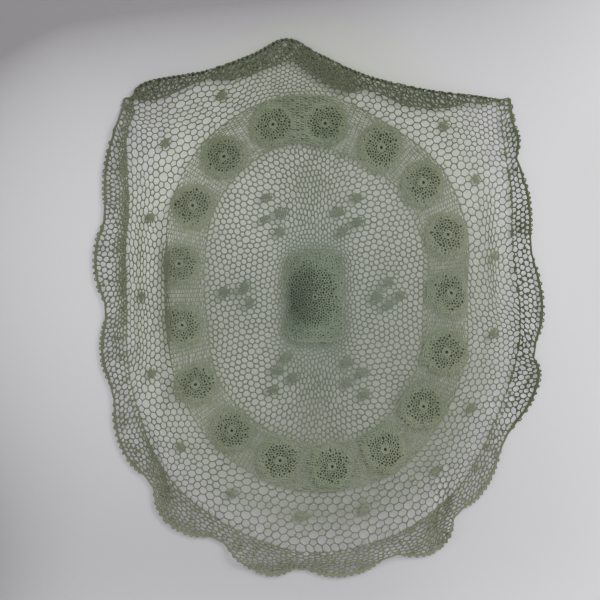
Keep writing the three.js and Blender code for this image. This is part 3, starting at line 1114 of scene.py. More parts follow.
# The upright stitches of a leaf: their number, the share of the leaf that they span, the power
# that rounds it, how uneven they are, their half-width as a share of their room and its profile,
# and their half-thickness.
LEAF_STITCHES = 9
LEAF_SPAN = 0.94
LEAF_ROUNDNESS = 1.7
LEAF_UNEVEN = 0.16
LEAF_WIDE = 0.62
LEAF_PROFILE = np.array([0.6, 1.0, 0.6])
LEAF_THICK = 1.4 * np.array([0.8, 1.0, 0.8])

# The stitches across them: where they lie, the power that shortens the outer ones, and their
# half-width and half-thickness.
CROSS_SHARES = (-0.42, 0.0, 0.42)
CROSS_ROUNDNESS = 0.6
CROSS_WIDE, CROSS_THICK = 1.2, 1.7


def solid_leaf(work, place, size, tilt, rng):
    """A small solid leaf in the front view: upright stitches side by side, whose half-height at
    u from end to end is that of the leaf times 1 - |u|^1.7, a little uneven, crossed by three
    level ones."""
    u = np.linspace(-LEAF_SPAN, LEAF_SPAN, LEAF_STITCHES)
    half = size[1] / 2 * (1 - np.abs(u) ** LEAF_ROUNDNESS)
    half = half * (1 + rng.normal(0, LEAF_UNEVEN, (2, LEAF_STITCHES)))
    x = u * size[0] / 2
    turn = np.array([[math.cos(tilt), math.sin(tilt)], [-math.sin(tilt), math.cos(tilt)]])

    def lay(start, end):
        path = mix(start[:, None], end[:, None], END_MIDDLE_END[None])
        return on_front(np.array(place) + path @ turn)

    wide = size[0] / LEAF_STITCHES * LEAF_WIDE
    upright = lay(np.stack([x, -half[0]], axis=1), np.stack([x, half[1]], axis=1))
    work.strands(*upright, wide * LEAF_PROFILE, LEAF_THICK, 5)
    share = np.array(CROSS_SHARES)
    reach = size[0] / 2 * (1 - np.abs(share)) ** CROSS_ROUNDNESS
    level = share * size[1]
    across = lay(np.stack([-reach, level], axis=1), np.stack([reach, level], axis=1))
    work.strands(*across, CROSS_WIDE, CROSS_THICK, 5)


def make_leaves(work):
    """The leaves of the inner net."""
    rng = np.random.default_rng(31)
    for leaf in LEAVES:
        solid_leaf(work, leaf["place"], leaf["size"], leaf["tilt"], rng)


def make_squares(work):
    """The small solid squares of the outer net."""
    rng = np.random.default_rng(32)
    for square in SQUARES:
        solid_leaf(work, square["place"], SQUARE_SIZE, square["tilt"], rng)


# Border

# The depth of the border's solid rim and of its picot edge, in the notches and on the scallops,
# and the shares of them where the hem is turned over and of the border's depth at most.
RIM_DEPTH = {"notch": 1.5, "scallop": 2.4}
EDGE_DEPTH = {"notch": 1.8, "scallop": 4.8}
FLAP_RIM, MOST_RIM = 0.45, 0.4

# The border's cells: their width, how much narrower they are where the hem is turned over, and
# how much flatter and narrower they are at its foot.
BORDER_CELL = 10.9
FLAP_MORE, FLAP_THICKER = 0.15, 0.15
BORDER_FOOT = {"above": -700, "below": -900, "flatter": 0.8, "more": -0.12}

# The share of the corners that have a lump, and its size in strands.
LUMP_SHARE, LUMP_SIZE = 0.34, 2.3

# The close strip along the net's edge on the cloth's left: the sectors it runs between and over
# which it starts and ends, its breadth, and how much narrower the cells are in it.
STRIP = {"from": 12.4, "to": 14.6, "fade": 0.25, "breadth": 16, "blur": 4, "more": 0.45}

# The rim's stitches in each sector, their half-thickness, and the half-width of the cord at its
# edge, which is thinner by a share where the hem is turned over.
RIM_STITCHES, RIM_THICK = 40, 1.4
EDGE_CORD, EDGE_THINNER = 1.6, 0.4

# The picots: their number on each scallop, how far they spread from its tip, in sectors, their
# radius, the half-width of their strand, how much they differ in size and within which shares,
# how far they stray, in picots, their points, and the share of the border they take up at most.
PICOTS = 12
PICOT_SPREAD = 0.37
PICOT_RADIUS = 2.5
PICOT_STRAND = 1.6
PICOT_WAVER, PICOT_LIMITS = 0.28, (0.6, 1.3)
PICOT_DRIFT = 0.3
PICOT_POINTS = 10
MOST_PICOT = 0.3

# How far past a corner, in sectors, three things begin and end to fade: the turned hem's
# thinner edge, its narrower cells, and its lack of picots and lumps.
EDGE_TURN, CELL_TURN, PICOT_TURN = (-0.2, 0), (-0.1, 0.05), (0, 0.05)


def on_scallop(sector):
    """1 on a scallop, falling to 0 in the notches on either side."""
    return smooth_step(0.0, 0.5, scallop(sector))


def border_ring(cloth, sector, widths):
    """The ring that lies inside the hem by the sum of the given widths, in millimetres, which
    shrink where the border is gathered to nothing."""
    depth = cloth.length_of(NET_EDGE, sector)
    inside = sum(w["notch"] + (w["scallop"] - w["notch"]) * on_scallop(sector) for w in widths)
    inside = inside * (1 - (1 - FLAP_RIM) * between_corners(sector, *EDGE_TURN))
    return HEM - np.minimum(inside / depth, MOST_RIM)


def border_honeycomb(work, cloth, low, high, strand):
    """The border's open work. Its plane is a ring: the net's edge is a circle as long as that
    edge, and the border reaches out from it, deeper at the foot, where the cells are flatter."""
    sector = np.arange(SECTORS * COLUMNS_PER_SECTOR + 1) / COLUMNS_PER_SECTOR
    edge, _ = cloth.at(sector, NET_EDGE)
    run = np.concatenate([[0.0], np.cumsum(np.linalg.norm(np.diff(edge, axis=0), axis=1))])
    radius = run[-1] / (2 * np.pi)
    foot = smooth_step(BORDER_FOOT["above"], BORDER_FOOT["below"], edge[:, 2])
    depth = (high(sector) - low(sector)) * cloth.length_of(NET_EDGE, sector)
    depth = depth * (1 + BORDER_FOOT["flatter"] * foot)
    turned = between_corners(sector, *CELL_TURN)
    size = BORDER_CELL / (1 + FLAP_MORE * turned + BORDER_FOOT["more"] * foot)
    share = run / run[-1]

    def share_of(point):
        return np.arctan2(point[..., 0], point[..., 1]) / (2 * np.pi) % 1

    def circle(reach):
        angle = 2 * np.pi * share[:-1]
        return np.stack([np.sin(angle), np.cos(angle)], axis=1) * (radius + reach)[:, None]

    def lay(point):
        u = share_of(point)
        s = np.interp(u, share, sector)
        h = (np.linalg.norm(point, axis=-1) - radius) / np.interp(u, share, depth)
        return cloth.at(s, low(s) + (high(s) - low(s)) * np.clip(h, 0, 1))

    def size_at(point):
        s = np.interp(share_of(point), share, sector)
        along = smooth_step(-STRIP["fade"], 0, np.minimum(s - STRIP["from"], STRIP["to"] - s))
        across = smooth_step(STRIP["breadth"] + STRIP["blur"], STRIP["breadth"] - STRIP["blur"],
                             np.linalg.norm(point, axis=-1) - radius)
        return np.interp(s, sector, size) / (1 + STRIP["more"] * along * across)

    corners, pairs = honeycomb(circle(np.zeros(len(sector) - 1)), circle(depth[:-1]), size_at)
    rng = np.random.default_rng(13)
    turned = between_corners(np.interp(share_of(corners), share, sector), *PICOT_TURN)
    some = (rng.random(len(corners)) < LUMP_SHARE) & (turned < 0.5)
    inside = np.linalg.norm(corners, axis=1) < radius + 1
    pairs = pairs[~inside[pairs].all(axis=1)]
    strand = strand * (1 + FLAP_THICKER * turned[pairs].mean(axis=1))
    lay_honeycomb(work, corners, pairs, lay, strand, LUMP_SIZE * some, seed=11)


def make_border(work, cloth, strand):
    """The border: honeycomb, a solid rim, a cord, and picots on the scallops."""

    def low(sector):
        return np.full(np.shape(sector), NET_EDGE + 0.001)

    def high(sector):
        return border_ring(cloth, sector, [RIM_DEPTH, EDGE_DEPTH])

    border_honeycomb(work, cloth, low, high, strand)
    around = np.arange(SECTORS * RIM_STITCHES) / RIM_STITCHES
    stitch = (np.arange(SECTORS * RIM_STITCHES) + 0.5) / RIM_STITCHES
    edge = border_ring(cloth, stitch, [EDGE_DEPTH])
    across = cloth.sector_width(stitch, edge) / RIM_STITCHES * STITCH_SHARE
    posts(work, cloth, (stitch, high(stitch)), (stitch, edge), across, RIM_THICK)
    cord(work, cloth, around, high(around), strand)
    thinner = 1 - EDGE_THINNER * between_corners(stitch, *EDGE_TURN)
    cord(work, cloth, stitch, edge, EDGE_CORD * thinner)
    offset = np.linspace(-PICOT_SPREAD, PICOT_SPREAD, PICOTS)
    sector = (np.arange(SECTORS)[:, None] + offset).ravel()
    rng = np.random.default_rng(12)
    sector = sector + rng.normal(0, PICOT_DRIFT * PICOT_SPREAD / PICOTS, sector.shape)
    sector = sector[between_corners(sector, *PICOT_TURN) < 0.5]
    uneven = (1 + rng.normal(0, PICOT_WAVER, sector.shape)).clip(*PICOT_LIMITS)
    radius = PICOT_RADIUS * uneven
    depth = cloth.length_of(NET_EDGE, sector)
    middle = HEM - np.minimum((radius + PICOT_STRAND / 2) / depth, MOST_PICOT)
    width = cloth.sector_width(sector, middle)
    angle = even_angles(PICOT_POINTS)
    s = sector[:, None] + radius[:, None] * np.cos(angle) / width[:, None]
    out = (radius / depth)[:, None] * np.sin(angle)
    path, normal = cloth.at(s, middle[:, None] + out)
    work.strands(path, normal, PICOT_STRAND, PICOT_STRAND, 5, closed=True)


# Materials


class Value:
    """A number socket of a node tree, on which Python's operators add Math nodes."""

    def __init__(self, graph, socket):
        self.graph, self.socket = graph, socket

    def combine(self, operation, first, second):
        """A Math node on two numbers."""
        node = self.graph.node("ShaderNodeMath", {"operation": operation}, {0: first, 1: second})
        return Value(self.graph, node.outputs[0])

    def __add__(self, other):
        return self.combine("ADD", self, other)

    __radd__ = __add__

    def __mul__(self, other):
        return self.combine("MULTIPLY", self, other)

    __rmul__ = __mul__

    def __sub__(self, other):
        return self.combine("SUBTRACT", self, other)

    def __rsub__(self, other):
        return self.combine("SUBTRACT", other, self)

    def sine(self):
        """The sine of the value."""
        return self.combine("SINE", self, 0.0)

    def held(self, low, high):
        """The value kept between two limits."""
        inputs = {"Value": self, "Min": low, "Max": high}
        return Value(self.graph, self.graph.node("ShaderNodeClamp", None, inputs).outputs[0])


class Graph:
    """A material's node tree, built one node at a time."""

    def __init__(self, name):
        self.material = bpy.data.materials.new(name)
        self.material.use_nodes = True
        self.tree = self.material.node_tree
        self.tree.nodes.clear()

    def node(self, kind, settings=None, inputs=None):
        """A node of a kind, with its settings made first and then its sockets' values or links."""
        node = self.tree.nodes.new(kind)
        for name, value in (settings or {}).items():
            setattr(node, name, value)
        for name, value in (inputs or {}).items():
            socket = node.inputs[name]
            source = value.socket if isinstance(value, Value) else value
            if isinstance(source, bpy.types.NodeSocket):
                self.tree.links.new(source, socket)
            else:
                socket.default_value = value
        return node

    def noise(self, vector, kind):
        """Fractal noise at the kind's scale, in cycles for each metre. It runs from 0 to 1, or
        is spread over that from the kind's low to its high."""
        inputs = {"Vector": vector, "Scale": kind["scale"], "Detail": kind["detail"],
                  "Roughness": NOISE_ROUGHNESS}
        noise = Value(self, self.node("ShaderNodeTexNoise", None, inputs).outputs[0])
        return self.between(noise, kind["low"], kind["high"]) if "low" in kind else noise

    def parts(self, vector):
        """The three numbers of a vector."""
        split = self.node("ShaderNodeSeparateXYZ", None, {0: vector})
        return [Value(self, socket) for socket in split.outputs]

    def bump(self, height, strength, depth):
        """A normal raised by a height."""
        inputs = {"Strength": strength, "Distance": depth, "Height": height}
        return self.node("ShaderNodeBump", None, inputs).outputs[0]

    def matt(self, colour, roughness, **others):
        """A shader with few highlights."""
        inputs = {"Base Color": colour, "Roughness": roughness, **others}
        return self.node("ShaderNodeBsdfPrincipled", None, inputs).outputs[0]

    def between(self, share, low, high):
        """A share of low to high spread over 0 to 1, and held at the ends."""
        inputs = {"Value": share, "From Min": low, "From Max": high}
        return Value(self, self.node("ShaderNodeMapRange", {"clamp": True}, inputs).outputs[0])

    def blend(self, share, first, second, mode="MIX"):
        """Two colours mixed by a share."""
        settings = {"data_type": "RGBA", "blend_type": mode}
        node = self.node("ShaderNodeMix", settings, {0: share, 6: first, 7: second})
        return node.outputs[2]

    def finish(self, shader):
        """Links a shader to the output and returns the material."""
        self.node("ShaderNodeOutputMaterial", None, {"Surface": shader})
        return self.material


def rgba(colour):
    """A colour property as four numbers."""
    return (*colour[:3], 1.0)


# Noise: its scale, its detail and, where it is spread over 0 to 1, the values it is spread from.
NOISE_ROUGHNESS = 0.55
PATCHES = {"scale": 9.0, "detail": 4.0, "low": 0.35, "high": 0.65}
FINE_PATCHES = {"scale": 160.0, "detail": 3.0, "low": 0.3, "high": 0.7}
FIBRE = {"scale": 2600.0, "detail": 2.0}
CLOUD = {"scale": 3.0, "detail": 3.0}
GRAIN = {"scale": 500.0, "detail": 3.0}
MOTTLE = {"scale": 8.0, "detail": 3.0}

# The yarn: its plies, the length over which they wind round once, how deep its grooves are and
# how much of them its fibres are.
PLIES = 3
PLY_TURN = 0.0048
TWIST_DEPTH, TWIST_STRENGTH = 0.0004, 0.6
FIBRE_SHARE = 0.5

# How much of the tints, the fine dark patches and the painted shade in the grooves between
# plies shows.
TINT_SHARE, FINE_SHARE, PLY_SHARE = 0.5, 0.45, 0.35

# The oval in which the tint changes from the middle's to the border's: how flat it is, and its
# half-width in metres where the change starts and ends.
OVAL_SQUEEZE = 0.83
OUTER_TINT = (0.1, 0.46)

# Where the painted shade at the sides and at the head and the paler foot start and are full, in
# metres, and the left side's share of the painted shade.
RIGHT_SHADE, LEFT_SHADE, LEFT_SHARE = (0.425, 0.46), (-0.32, -0.36), 0.4
HEAD_SHADE, FOOT_TINT = (-0.27, -0.19), (-0.86, -0.97)

# The spot of painted shade to the left in the medallion, in metres.
SHADED_SPOT = {"x": 0.014, "z": -0.522, "reach": 0.062, "flatness": 0.45}

# How rough the yarn is at least, and how much rougher in its fine patches.
YARN_ROUGHNESS, ROUGHER_PATCHES = 0.84, 0.12
YARN_SHEEN = {"Sheen Weight": 0.05, "Sheen Roughness": 0.6, "Specular IOR Level": 0.2}


# One row for each yarn: what its colour is multiplied by, how much of the grooves' painted shade
# its flanks take on, and the share by which the medallion's spot of painted shade is darker. The
# backs' yarns take the most painted shade, which stands for the shade in the lace's holes.
YARNS = table(
    "name shade flank spotted",
    ("close_yarn_middle", 1.13, 0.5, 0.4),
    ("net_yarn_middle", 0.97, 0.5, 0.0),
    ("back_yarn_middle", 0.85, 0.9, 0.0),
    ("leaf_yarn_middle", 0.87, 0.5, 0.0),
    ("close_yarn_ring", 1.2, 0.5, 0.0),
    ("back_yarn_ring", 0.94, 0.9, 0.0),
    ("net_yarn_outside", 0.93, 0.5, 0.0),
    ("close_yarn_outside", 0.86, 0.5, 0.0),
    ("leaf_yarn_outside", 0.99, 0.5, 0.0),
)


def yarn_material(name, settings):
    """Matt crochet cotton: plied yarn whose plies wind along each strand's own map, with painted
    shade in the grooves between them and on its flanks, which are darker than its top. Over the
    cloth lie soft patches of lighter, darker and olive yarn, painted shade in a spot in the
    medallion, at the sides and at the head, and a paler foot."""
    yarn = next(row for row in YARNS if row["name"] == name)
    g = Graph(name)
    space = g.node("ShaderNodeTexCoord").outputs["Object"]
    x, _, z = g.parts(space)
    along, around, _ = g.parts(g.node("ShaderNodeUVMap", {"uv_map": "strand"}).outputs[0])
    winding = along * (2 * math.pi / PLY_TURN) + around * (2 * math.pi * PLIES)
    ply = winding.sine() * 0.5 + 0.5
    crown = (around * (2 * math.pi)).sine() * 0.5 + 0.5
    fine = g.noise(space, FINE_PATCHES)
    oval = {0: space, 1: (1.0, 0.0, OVAL_SQUEEZE)}
    reach = g.node("ShaderNodeVectorMath", {"operation": "MULTIPLY"}, oval).outputs[0]
    centre = (MEDALLION["centre"][0] * MM, 0.0, MEDALLION["centre"][1] * MM * OVAL_SQUEEZE)
    away = g.node("ShaderNodeVectorMath", {"operation": "DISTANCE"}, {0: reach, 1: centre})
    outer = g.between(Value(g, away.outputs["Value"]), *OUTER_TINT)
    dark, groove_shade = rgba(settings.yarn_dark), rgba(settings.groove_shade)
    body = g.blend(g.noise(space, PATCHES), dark, rgba(settings.yarn_light))
    tint = g.blend(outer, rgba(settings.centre_tint), rgba(settings.border_tint))
    body = g.blend(TINT_SHARE, body, tint)
    body = g.blend(fine * FINE_SHARE, body, dark)
    # Painted shade: the grooves between the plies, and each strand's flanks below its crown, take
    # on the grooves' dark colour.
    body = g.blend((1 - ply) * PLY_SHARE, body, groove_shade)
    body = g.blend((1 - crown) * yarn["flank"], body, groove_shade)
    # Painted shade at the side borders, most at the right one.
    sides = g.between(x, *RIGHT_SHADE) + g.between(x, *LEFT_SHADE) * LEFT_SHARE
    body = g.blend(sides, body, rgba(settings.side_shade), "MULTIPLY")
    # Painted shade at the head of the cloth; below, a paler foot.
    body = g.blend(g.between(z, *HEAD_SHADE), body, rgba(settings.head_shade), "MULTIPLY")
    body = g.blend(g.between(z, *FOOT_TINT), body, rgba(settings.foot_tint), "MULTIPLY")
    # Painted shade in a spot at the left of the medallion.
    off, up = x - SHADED_SPOT["x"], z - SHADED_SPOT["z"]
    near = g.between(off * off + up * up * SHADED_SPOT["flatness"], SHADED_SPOT["reach"] ** 2, 0.0)
    normal_shade, spot_shade = [(shade, shade, shade, 1.0) for shade in (
        yarn["shade"], yarn["shade"] * (1 - yarn["spotted"]))]
    shades = g.blend(near, normal_shade, spot_shade)
    body = g.blend(1.0, body, shades, "MULTIPLY")
    height = ply + g.noise(space, FIBRE) * FIBRE_SHARE
    normal = g.bump(height, TWIST_STRENGTH, TWIST_DEPTH)
    roughness = fine * ROUGHER_PATCHES + YARN_ROUGHNESS
    return g.finish(g.matt(body, roughness, Normal=normal, **YARN_SHEEN))


# Places in the picture, from -1 to 1, about which the wall has painted light, or painted shadow
# where more is negative, by a share.
WALL_SPOTS = table(
    "name place reach more",
    ("below the hem", (-0.1, -1.0), 0.65, -0.14),
    ("above the cloth", (-0.2, 0.9), 0.6, -0.11),
    ("behind the lower middle", (0.0, -0.48), 0.45, 0.18),
    ("behind the left leaves", (-0.36, 0.02), 0.28, -0.22),
    ("lower right corner", (0.9, -0.9), 0.7, 0.14),
)
WALL_SPAN = 0.6

# How much painted light the wall has over the picture, and how light its painted shade behind
# the cloth is: each a sum of rows, each of which is a share times x and z, from -1 to 1, to whole
# powers.
WALL_TERMS = table(
    "share x z",
    (0.86, 0, 0),
    (-0.15, 1, 0),
    (0.32, 0, 1),
    (0.08, 1, 1),
    (-0.78, 0, 2),
    (0.18, 1, 2),
    (-0.57, 0, 3),
    (0.28, 0, 4),
    (0.43, 3, 0),
    (0.04, 2, 1),
)
SHADE_TERMS = table(
    "share x z",
    (0.59, 0, 0),
    (0.56, 1, 0),
    (-0.5, 0, 1),
    (0.24, 1, 1),
    (-0.87, 2, 0),
    (-0.13, 0, 2),
)

# Two ovals behind the cloth, that of its shade and a smaller one behind its middle: their
# centres, how narrow and how low they are, and where they start and are full.
WALL_OVALS = table(
    "name centre narrow low from to",
    ("shade", (0.06, 0.05), 1.95, 1.15, 1.0, 0.68),
    ("middle", (0.0, 0.15), 1.75, 1.15, 0.5, 0.15),
)
CLOUD_SHARE = 0.08
GRAIN_STRENGTH, GRAIN_DEPTH = 0.15, 0.0004
WALL_ROUGHNESS = 0.9
WALL_GLOSS = {"Specular IOR Level": 0.2}

# How much of the colour of the plaster's painted shade the floor's patches show, how rough the
# floor is at least, and how much rougher in its patches.
MOTTLE_SHARE = 0.2
FLOOR_ROUGHNESS, ROUGHER_MOTTLE = 0.8, 0.1


def summed(x, z, terms):
    """The sum of share x^i z^j over the rows of a table."""
    total = 0.0
    for term in terms:
        product = term["share"]
        for value in [x] * term["x"] + [z] * term["z"]:
            product = value * product
        total = total + product
    return total


def wall_material(settings):
    """Pale matt plaster, clear from behind, with painted light and shade. Painted shade darkens it
    towards the top, the foot and most of all the upper left, by a sum of powers of x and z, which
    run from -1 to 1 across the picture and are held beyond it, and painted shadow and light lie
    about some spots. Behind the cloth, inside an oval, it is tinted by painted light off the yarn
    and lies in its painted shade, most to the lower right."""
    g = Graph("plaster")
    space = g.node("ShaderNodeTexCoord").outputs["Object"]
    x, _, z = g.parts(space)
    x = ((x - CAMERA_AIM[0]) * (1 / WALL_SPAN)).held(-1.0, 1.0)
    z = ((z - CAMERA_AIM[1]) * (1 / WALL_SPAN)).held(-1.0, 1.0)
    share = summed(x, z, WALL_TERMS)
    for spot in WALL_SPOTS:
        off, up = x - spot["place"][0], z - spot["place"][1]
        share = share + g.between(off * off + up * up, spot["reach"] ** 2, 0.0) * spot["more"]
    dark = rgba(settings.wall_shade_and_mottle)
    # Painted light and shade over the picture, between the plaster's fully lit and fully shaded
    # colours.
    colour = g.blend(share, dark, rgba(settings.wall_light))
    colour = g.blend(g.noise(space, CLOUD) * CLOUD_SHARE, colour, dark)
    shade = g.blend(summed(x, z, SHADE_TERMS), rgba(settings.wall_bounce),
                    rgba(settings.wall_shadow))
    for oval, tint in zip(WALL_OVALS, (shade, rgba(settings.wall_middle))):
        off, up = x - oval["centre"][0], z - oval["centre"][1]
        away = off * off * oval["narrow"] + up * up * oval["low"]
        colour = g.blend(g.between(away, oval["from"], oval["to"]), colour, tint, "MULTIPLY")
    normal = g.bump(g.noise(space, GRAIN), GRAIN_STRENGTH, GRAIN_DEPTH)
    front = g.matt(colour, WALL_ROUGHNESS, Normal=normal, **WALL_GLOSS)
    clear = g.node("ShaderNodeBsdfTransparent").outputs[0]
    back = g.node("ShaderNodeNewGeometry").outputs["Backfacing"]
    shown = g.node("ShaderNodeMixShader", None, {0: back, 1: front, 2: clear})
    return g.finish(shown.outputs[0])


def floor_material(settings):
    """Pale matt floor."""
    g = Graph("floor")
    mottle = g.noise(g.node("ShaderNodeTexCoord").outputs["Object"], MOTTLE)
    colour = g.blend(mottle * MOTTLE_SHARE, rgba(settings.wall_light), rgba(settings.wall_shade_and_mottle))
    return g.finish(g.matt(colour, mottle * ROUGHER_MOTTLE + FLOOR_ROUGHNESS))


# Add-on


def strand_property(name, description, size):
    """The thickness of a strand."""
    return bpy.props.FloatProperty(name=name, description=description, default=size,
                                   min=0.0005, max=0.006, precision=4, unit="LENGTH")


def colour_property(name, description, colour, most=1.0):
    """A colour, or what a colour is multiplied by."""
    return bpy.props.FloatVectorProperty(name=name, description=description, default=colour,
                                         min=0.0, max=most, subtype="COLOR")


def power_property(name, description, power):
    """The power of a light."""
    return bpy.props.FloatProperty(name=name, description=description, default=power,
                                   min=0.0, max=1000.0, unit="POWER")


class ClothSettings(bpy.types.PropertyGroup):
    """Sizes and colours of the cloth and of the studio round it."""

    net_strand: strand_property(
        "Net strand", "Thickness of a strand of the open nets", 0.0028)
    border_strand: strand_property(
        "Border strand", "Thickness of a strand of the border", 0.0029)
    yarn_light: colour_property(
        "Light yarn", "Colour of the lighter patches of yarn", (0.20, 0.23, 0.15))
    yarn_dark: colour_property(
        "Dark yarn", "Colour of the darker patches of yarn", (0.12, 0.15, 0.09))
    # Painted shade: the dark colour of the grooves between plies, of the strands' flanks and of
    # the close backs' fronts.
    groove_shade: colour_property(
        "Grooves", "Colour of the grooves and flanks of the yarn", (0.06, 0.07, 0.04))
    centre_tint: colour_property(
        "Middle tint", "Colour of the yarn towards the middle", (0.15, 0.21, 0.175))
    border_tint: colour_property(
        "Border tint", "Colour of the yarn towards the border", (0.19, 0.195, 0.115))
    # Painted shade: what the yarn is multiplied by in the side borders, most in the right one.
    side_shade: colour_property(
        "Sides", "What the yarn is multiplied by in the side borders, most in the right one",
        (0.5, 0.55, 0.42))
    # Painted shade: what the yarn is multiplied by at the head of the cloth.
    head_shade: colour_property(
        "Head", "What the yarn is multiplied by at the head of the cloth", (0.84, 0.86, 0.84))
    foot_tint: colour_property(
        "Foot", "What the yarn is multiplied by at the foot of the cloth", (1.18, 1.15, 1.2), 2.0)
    # The plaster's colour where its painted light is full, and the floor's colour.
    wall_light: colour_property(
        "Light wall", "Colour of the lighter plaster and the floor", (0.95, 0.94, 0.98))
    wall_shade_and_mottle: colour_property(
        # The plaster's colour where its painted shade is full, and that of the floor's darker
        # patches.
        "Dark wall", "Colour of the darker plaster", (0.2, 0.187, 0.193))
    wall_bounce: colour_property(
        "Wall behind the cloth", "Tint of the plaster by light off the cloth",
        (1.07, 1.15, 0.94), 2.0)
    wall_middle: colour_property(
        "Wall behind the middle", "Shade of the plaster behind the middle", (0.84, 0.85, 0.84))
    wall_shadow: colour_property(
        "Wall below the cloth", "Shade of the plaster to the lower right", (0.42, 0.45, 0.367))
    key_power: power_property(
        "Right light", "Power of the soft light on the right", 81.0)
    fill_power: power_property(
        "Left light", "Power of the soft light on the left", 33.6)
    back_power: power_property(
        "Back light", "Power of the soft light behind the wall", 55.0)


# The width of a cell of the inner and the outer net, how much thicker the inner net's strands
# are, and the power of a cell's width that its strands thin with where it is narrow.
INNER_CELL = 10.8
INNER_STRAND = 1.08
OUTER_CELL = 15.8
THINNER_WHERE_CLOSE = 0.45

# How much narrower the inner net's cells are about the medallion, and how far from it.
CROWDED_INSIDE = {"more": 0.45, "reach": 55}

# Places of the front view round which the outer net's cells are narrower, or wider where more
# is negative.
CROWDED_OUTSIDE = table(
    "name place reach more",
    ("middle hang point", (0, -90), 130, 0.6),
    ("left hang point", (-310, -130), 90, 0.25),
    ("right hang point", (420, -150), 150, 0.4),
    ("upper side", (40, -60), 460, 0.16),
    ("foot", (60, -1020), 440, -0.1),
    ("left side", (-300, -560), 260, 0.12),
    ("low left", (-220, -830), 170, 0.22),
    ("right side", (440, -600), 230, 0.35),
    ("low right", (350, -850), 170, 0.25),
)


def crowding_inside(point):
    """How much narrower the inner net's cells are near the medallion."""
    away = np.abs(point - MEDALLION_CENTRE)
    halves = np.array([MEDALLION["half_width"], MEDALLION["half_height"]], float)
    gap = np.linalg.norm(np.maximum(away - halves, 0), axis=-1)
    return 1 + CROWDED_INSIDE["more"] * swell(gap / CROWDED_INSIDE["reach"])


def crowding_outside(point):
    """How much narrower the outer net's cells are near the crowded places."""
    close = np.ones(point.shape[:-1])
    for spot in CROWDED_OUTSIDE:
        gap = np.linalg.norm(point - np.array(spot["place"], float), axis=-1)
        close = close + spot["more"] * swell(gap / spot["reach"])
    return close


def make_net(work, inner, outer, size_at, strand, seed):
    """A net between two lines round the cloth, as a honeycomb in a plane where the close lines
    are spread out. Its strands are a little thinner where its cells are narrow."""
    sector = np.arange(SECTORS * COLUMNS_PER_SECTOR) / COLUMNS_PER_SECTOR
    corners, pairs = honeycomb(spread_out(inner(sector)), spread_out(outer(sector)), size_at)
    size = size_at(corners[pairs].mean(axis=1))
    strand = strand * np.minimum(size / np.median(size), 1) ** THINNER_WHERE_CLOSE
    lay_honeycomb(work, corners, pairs, lambda point: on_front(drawn_together(point)),
                  strand, KNOT_SIZE, seed)


class TABLECLOTH_OT_middle(bpy.types.Operator):
    """Works the medallion, the inner net round it and the net's leaves"""

    bl_idname = "tablecloth.middle"
    bl_label = "Middle and inner net"

    def execute(self, context):
        settings, cloth = context.scene.tablecloth, hung_cloth()
        medallion, back, inner, leaves = Work(), Work(), Work(), Work()
        make_medallion(medallion, back, cloth)
        make_net(inner, medallion_edge, lambda s: round_curve(RING_INNER_POINTS, s),
                 lambda point: INNER_CELL / crowding_inside(point),
                 settings.net_strand / MM / 2 * INNER_STRAND, seed=5)
        make_leaves(leaves)
        close = yarn_material("close_yarn_middle", settings)
        net_yarn = yarn_material("net_yarn_middle", settings)
        # The medallion's back: its yarn is painted dark, as the shade seen through the lace's
        # holes.
        dark = yarn_material("back_yarn_middle", settings)
        leaf_yarn = yarn_material("leaf_yarn_middle", settings)
        pieces = [medallion.object("medallion", close), leaves.object("leaves", leaf_yarn),
                  back.object("medallion_back", dark)]
        sheet = inner.object("inner_net", net_yarn)
        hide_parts("tablecloth")
        return {"FINISHED"}


class TABLECLOTH_OT_ring(bpy.types.Operator):
    """Works the ring of rosettes and the fine mesh between them"""

    bl_idname = "tablecloth.ring"
    bl_label = "Ring of rosettes"

    def execute(self, context):
        settings, cloth = context.scene.tablecloth, hung_cloth()
        rosettes, backs, joins = Work(), Work(), Work()
        make_rosettes(rosettes, backs, cloth)
        make_joins(joins, cloth)
        yarn = yarn_material("close_yarn_ring", settings)
        # The rosettes' backs: their yarn is painted dark, as the shade seen through the lace's
        # holes.
        dark = yarn_material("back_yarn_ring", settings)
        pieces = [joins.object("rosette_joins", yarn), backs.object("rosette_backs", dark)]
        sheet = rosettes.object("rosettes", yarn)
        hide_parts("tablecloth")
        return {"FINISHED"}


class TABLECLOTH_OT_outside(bpy.types.Operator):
    """Works the outer net, its small squares and the scalloped border"""

    bl_idname = "tablecloth.outside"
    bl_label = "Outer net and border"

    def execute(self, context):
        settings, cloth = context.scene.tablecloth, hung_cloth()
        outer, squares, border = Work(), Work(), Work()
        make_net(outer, lambda s: round_curve(RING_OUTER_POINTS, s), net_edge,
                 lambda point: OUTER_CELL / crowding_outside(point),
                 settings.net_strand / MM / 2, seed=7)
        make_squares(squares)
        make_border(border, cloth, settings.border_strand / MM / 2)
        net_yarn = yarn_material("net_yarn_outside", settings)
        close = yarn_material("close_yarn_outside", settings)
        leaf_yarn = yarn_material("leaf_yarn_outside", settings)
        pieces = [squares.object("squares", leaf_yarn), border.object("border", close)]
        sheet = outer.object("outer_net", net_yarn)
        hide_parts("tablecloth")
        return {"FINISHED"}


CAMERA_DISTANCE = 3.0
CAMERA_AIM = (0.026, -0.522)
LENS, SENSOR = 90.0, 36.0
WALL_REACH = 3.0
FLOOR_DROP = 1.17
SKY, SKY_STRENGTH = (0.82, 0.84, 0.88, 1.0), 0.35
LIGHTS = table(
    "name place size power",
    ("right_light", (1.5, -2.3, 0.5), 1.5, "key_power"),
    ("left_light", (-1.8, -2.4, 0.1), 2.4, "fill_power"),
    ("back_light", (0.6, 2.4, 0.2), 2.4, "back_power"),
)


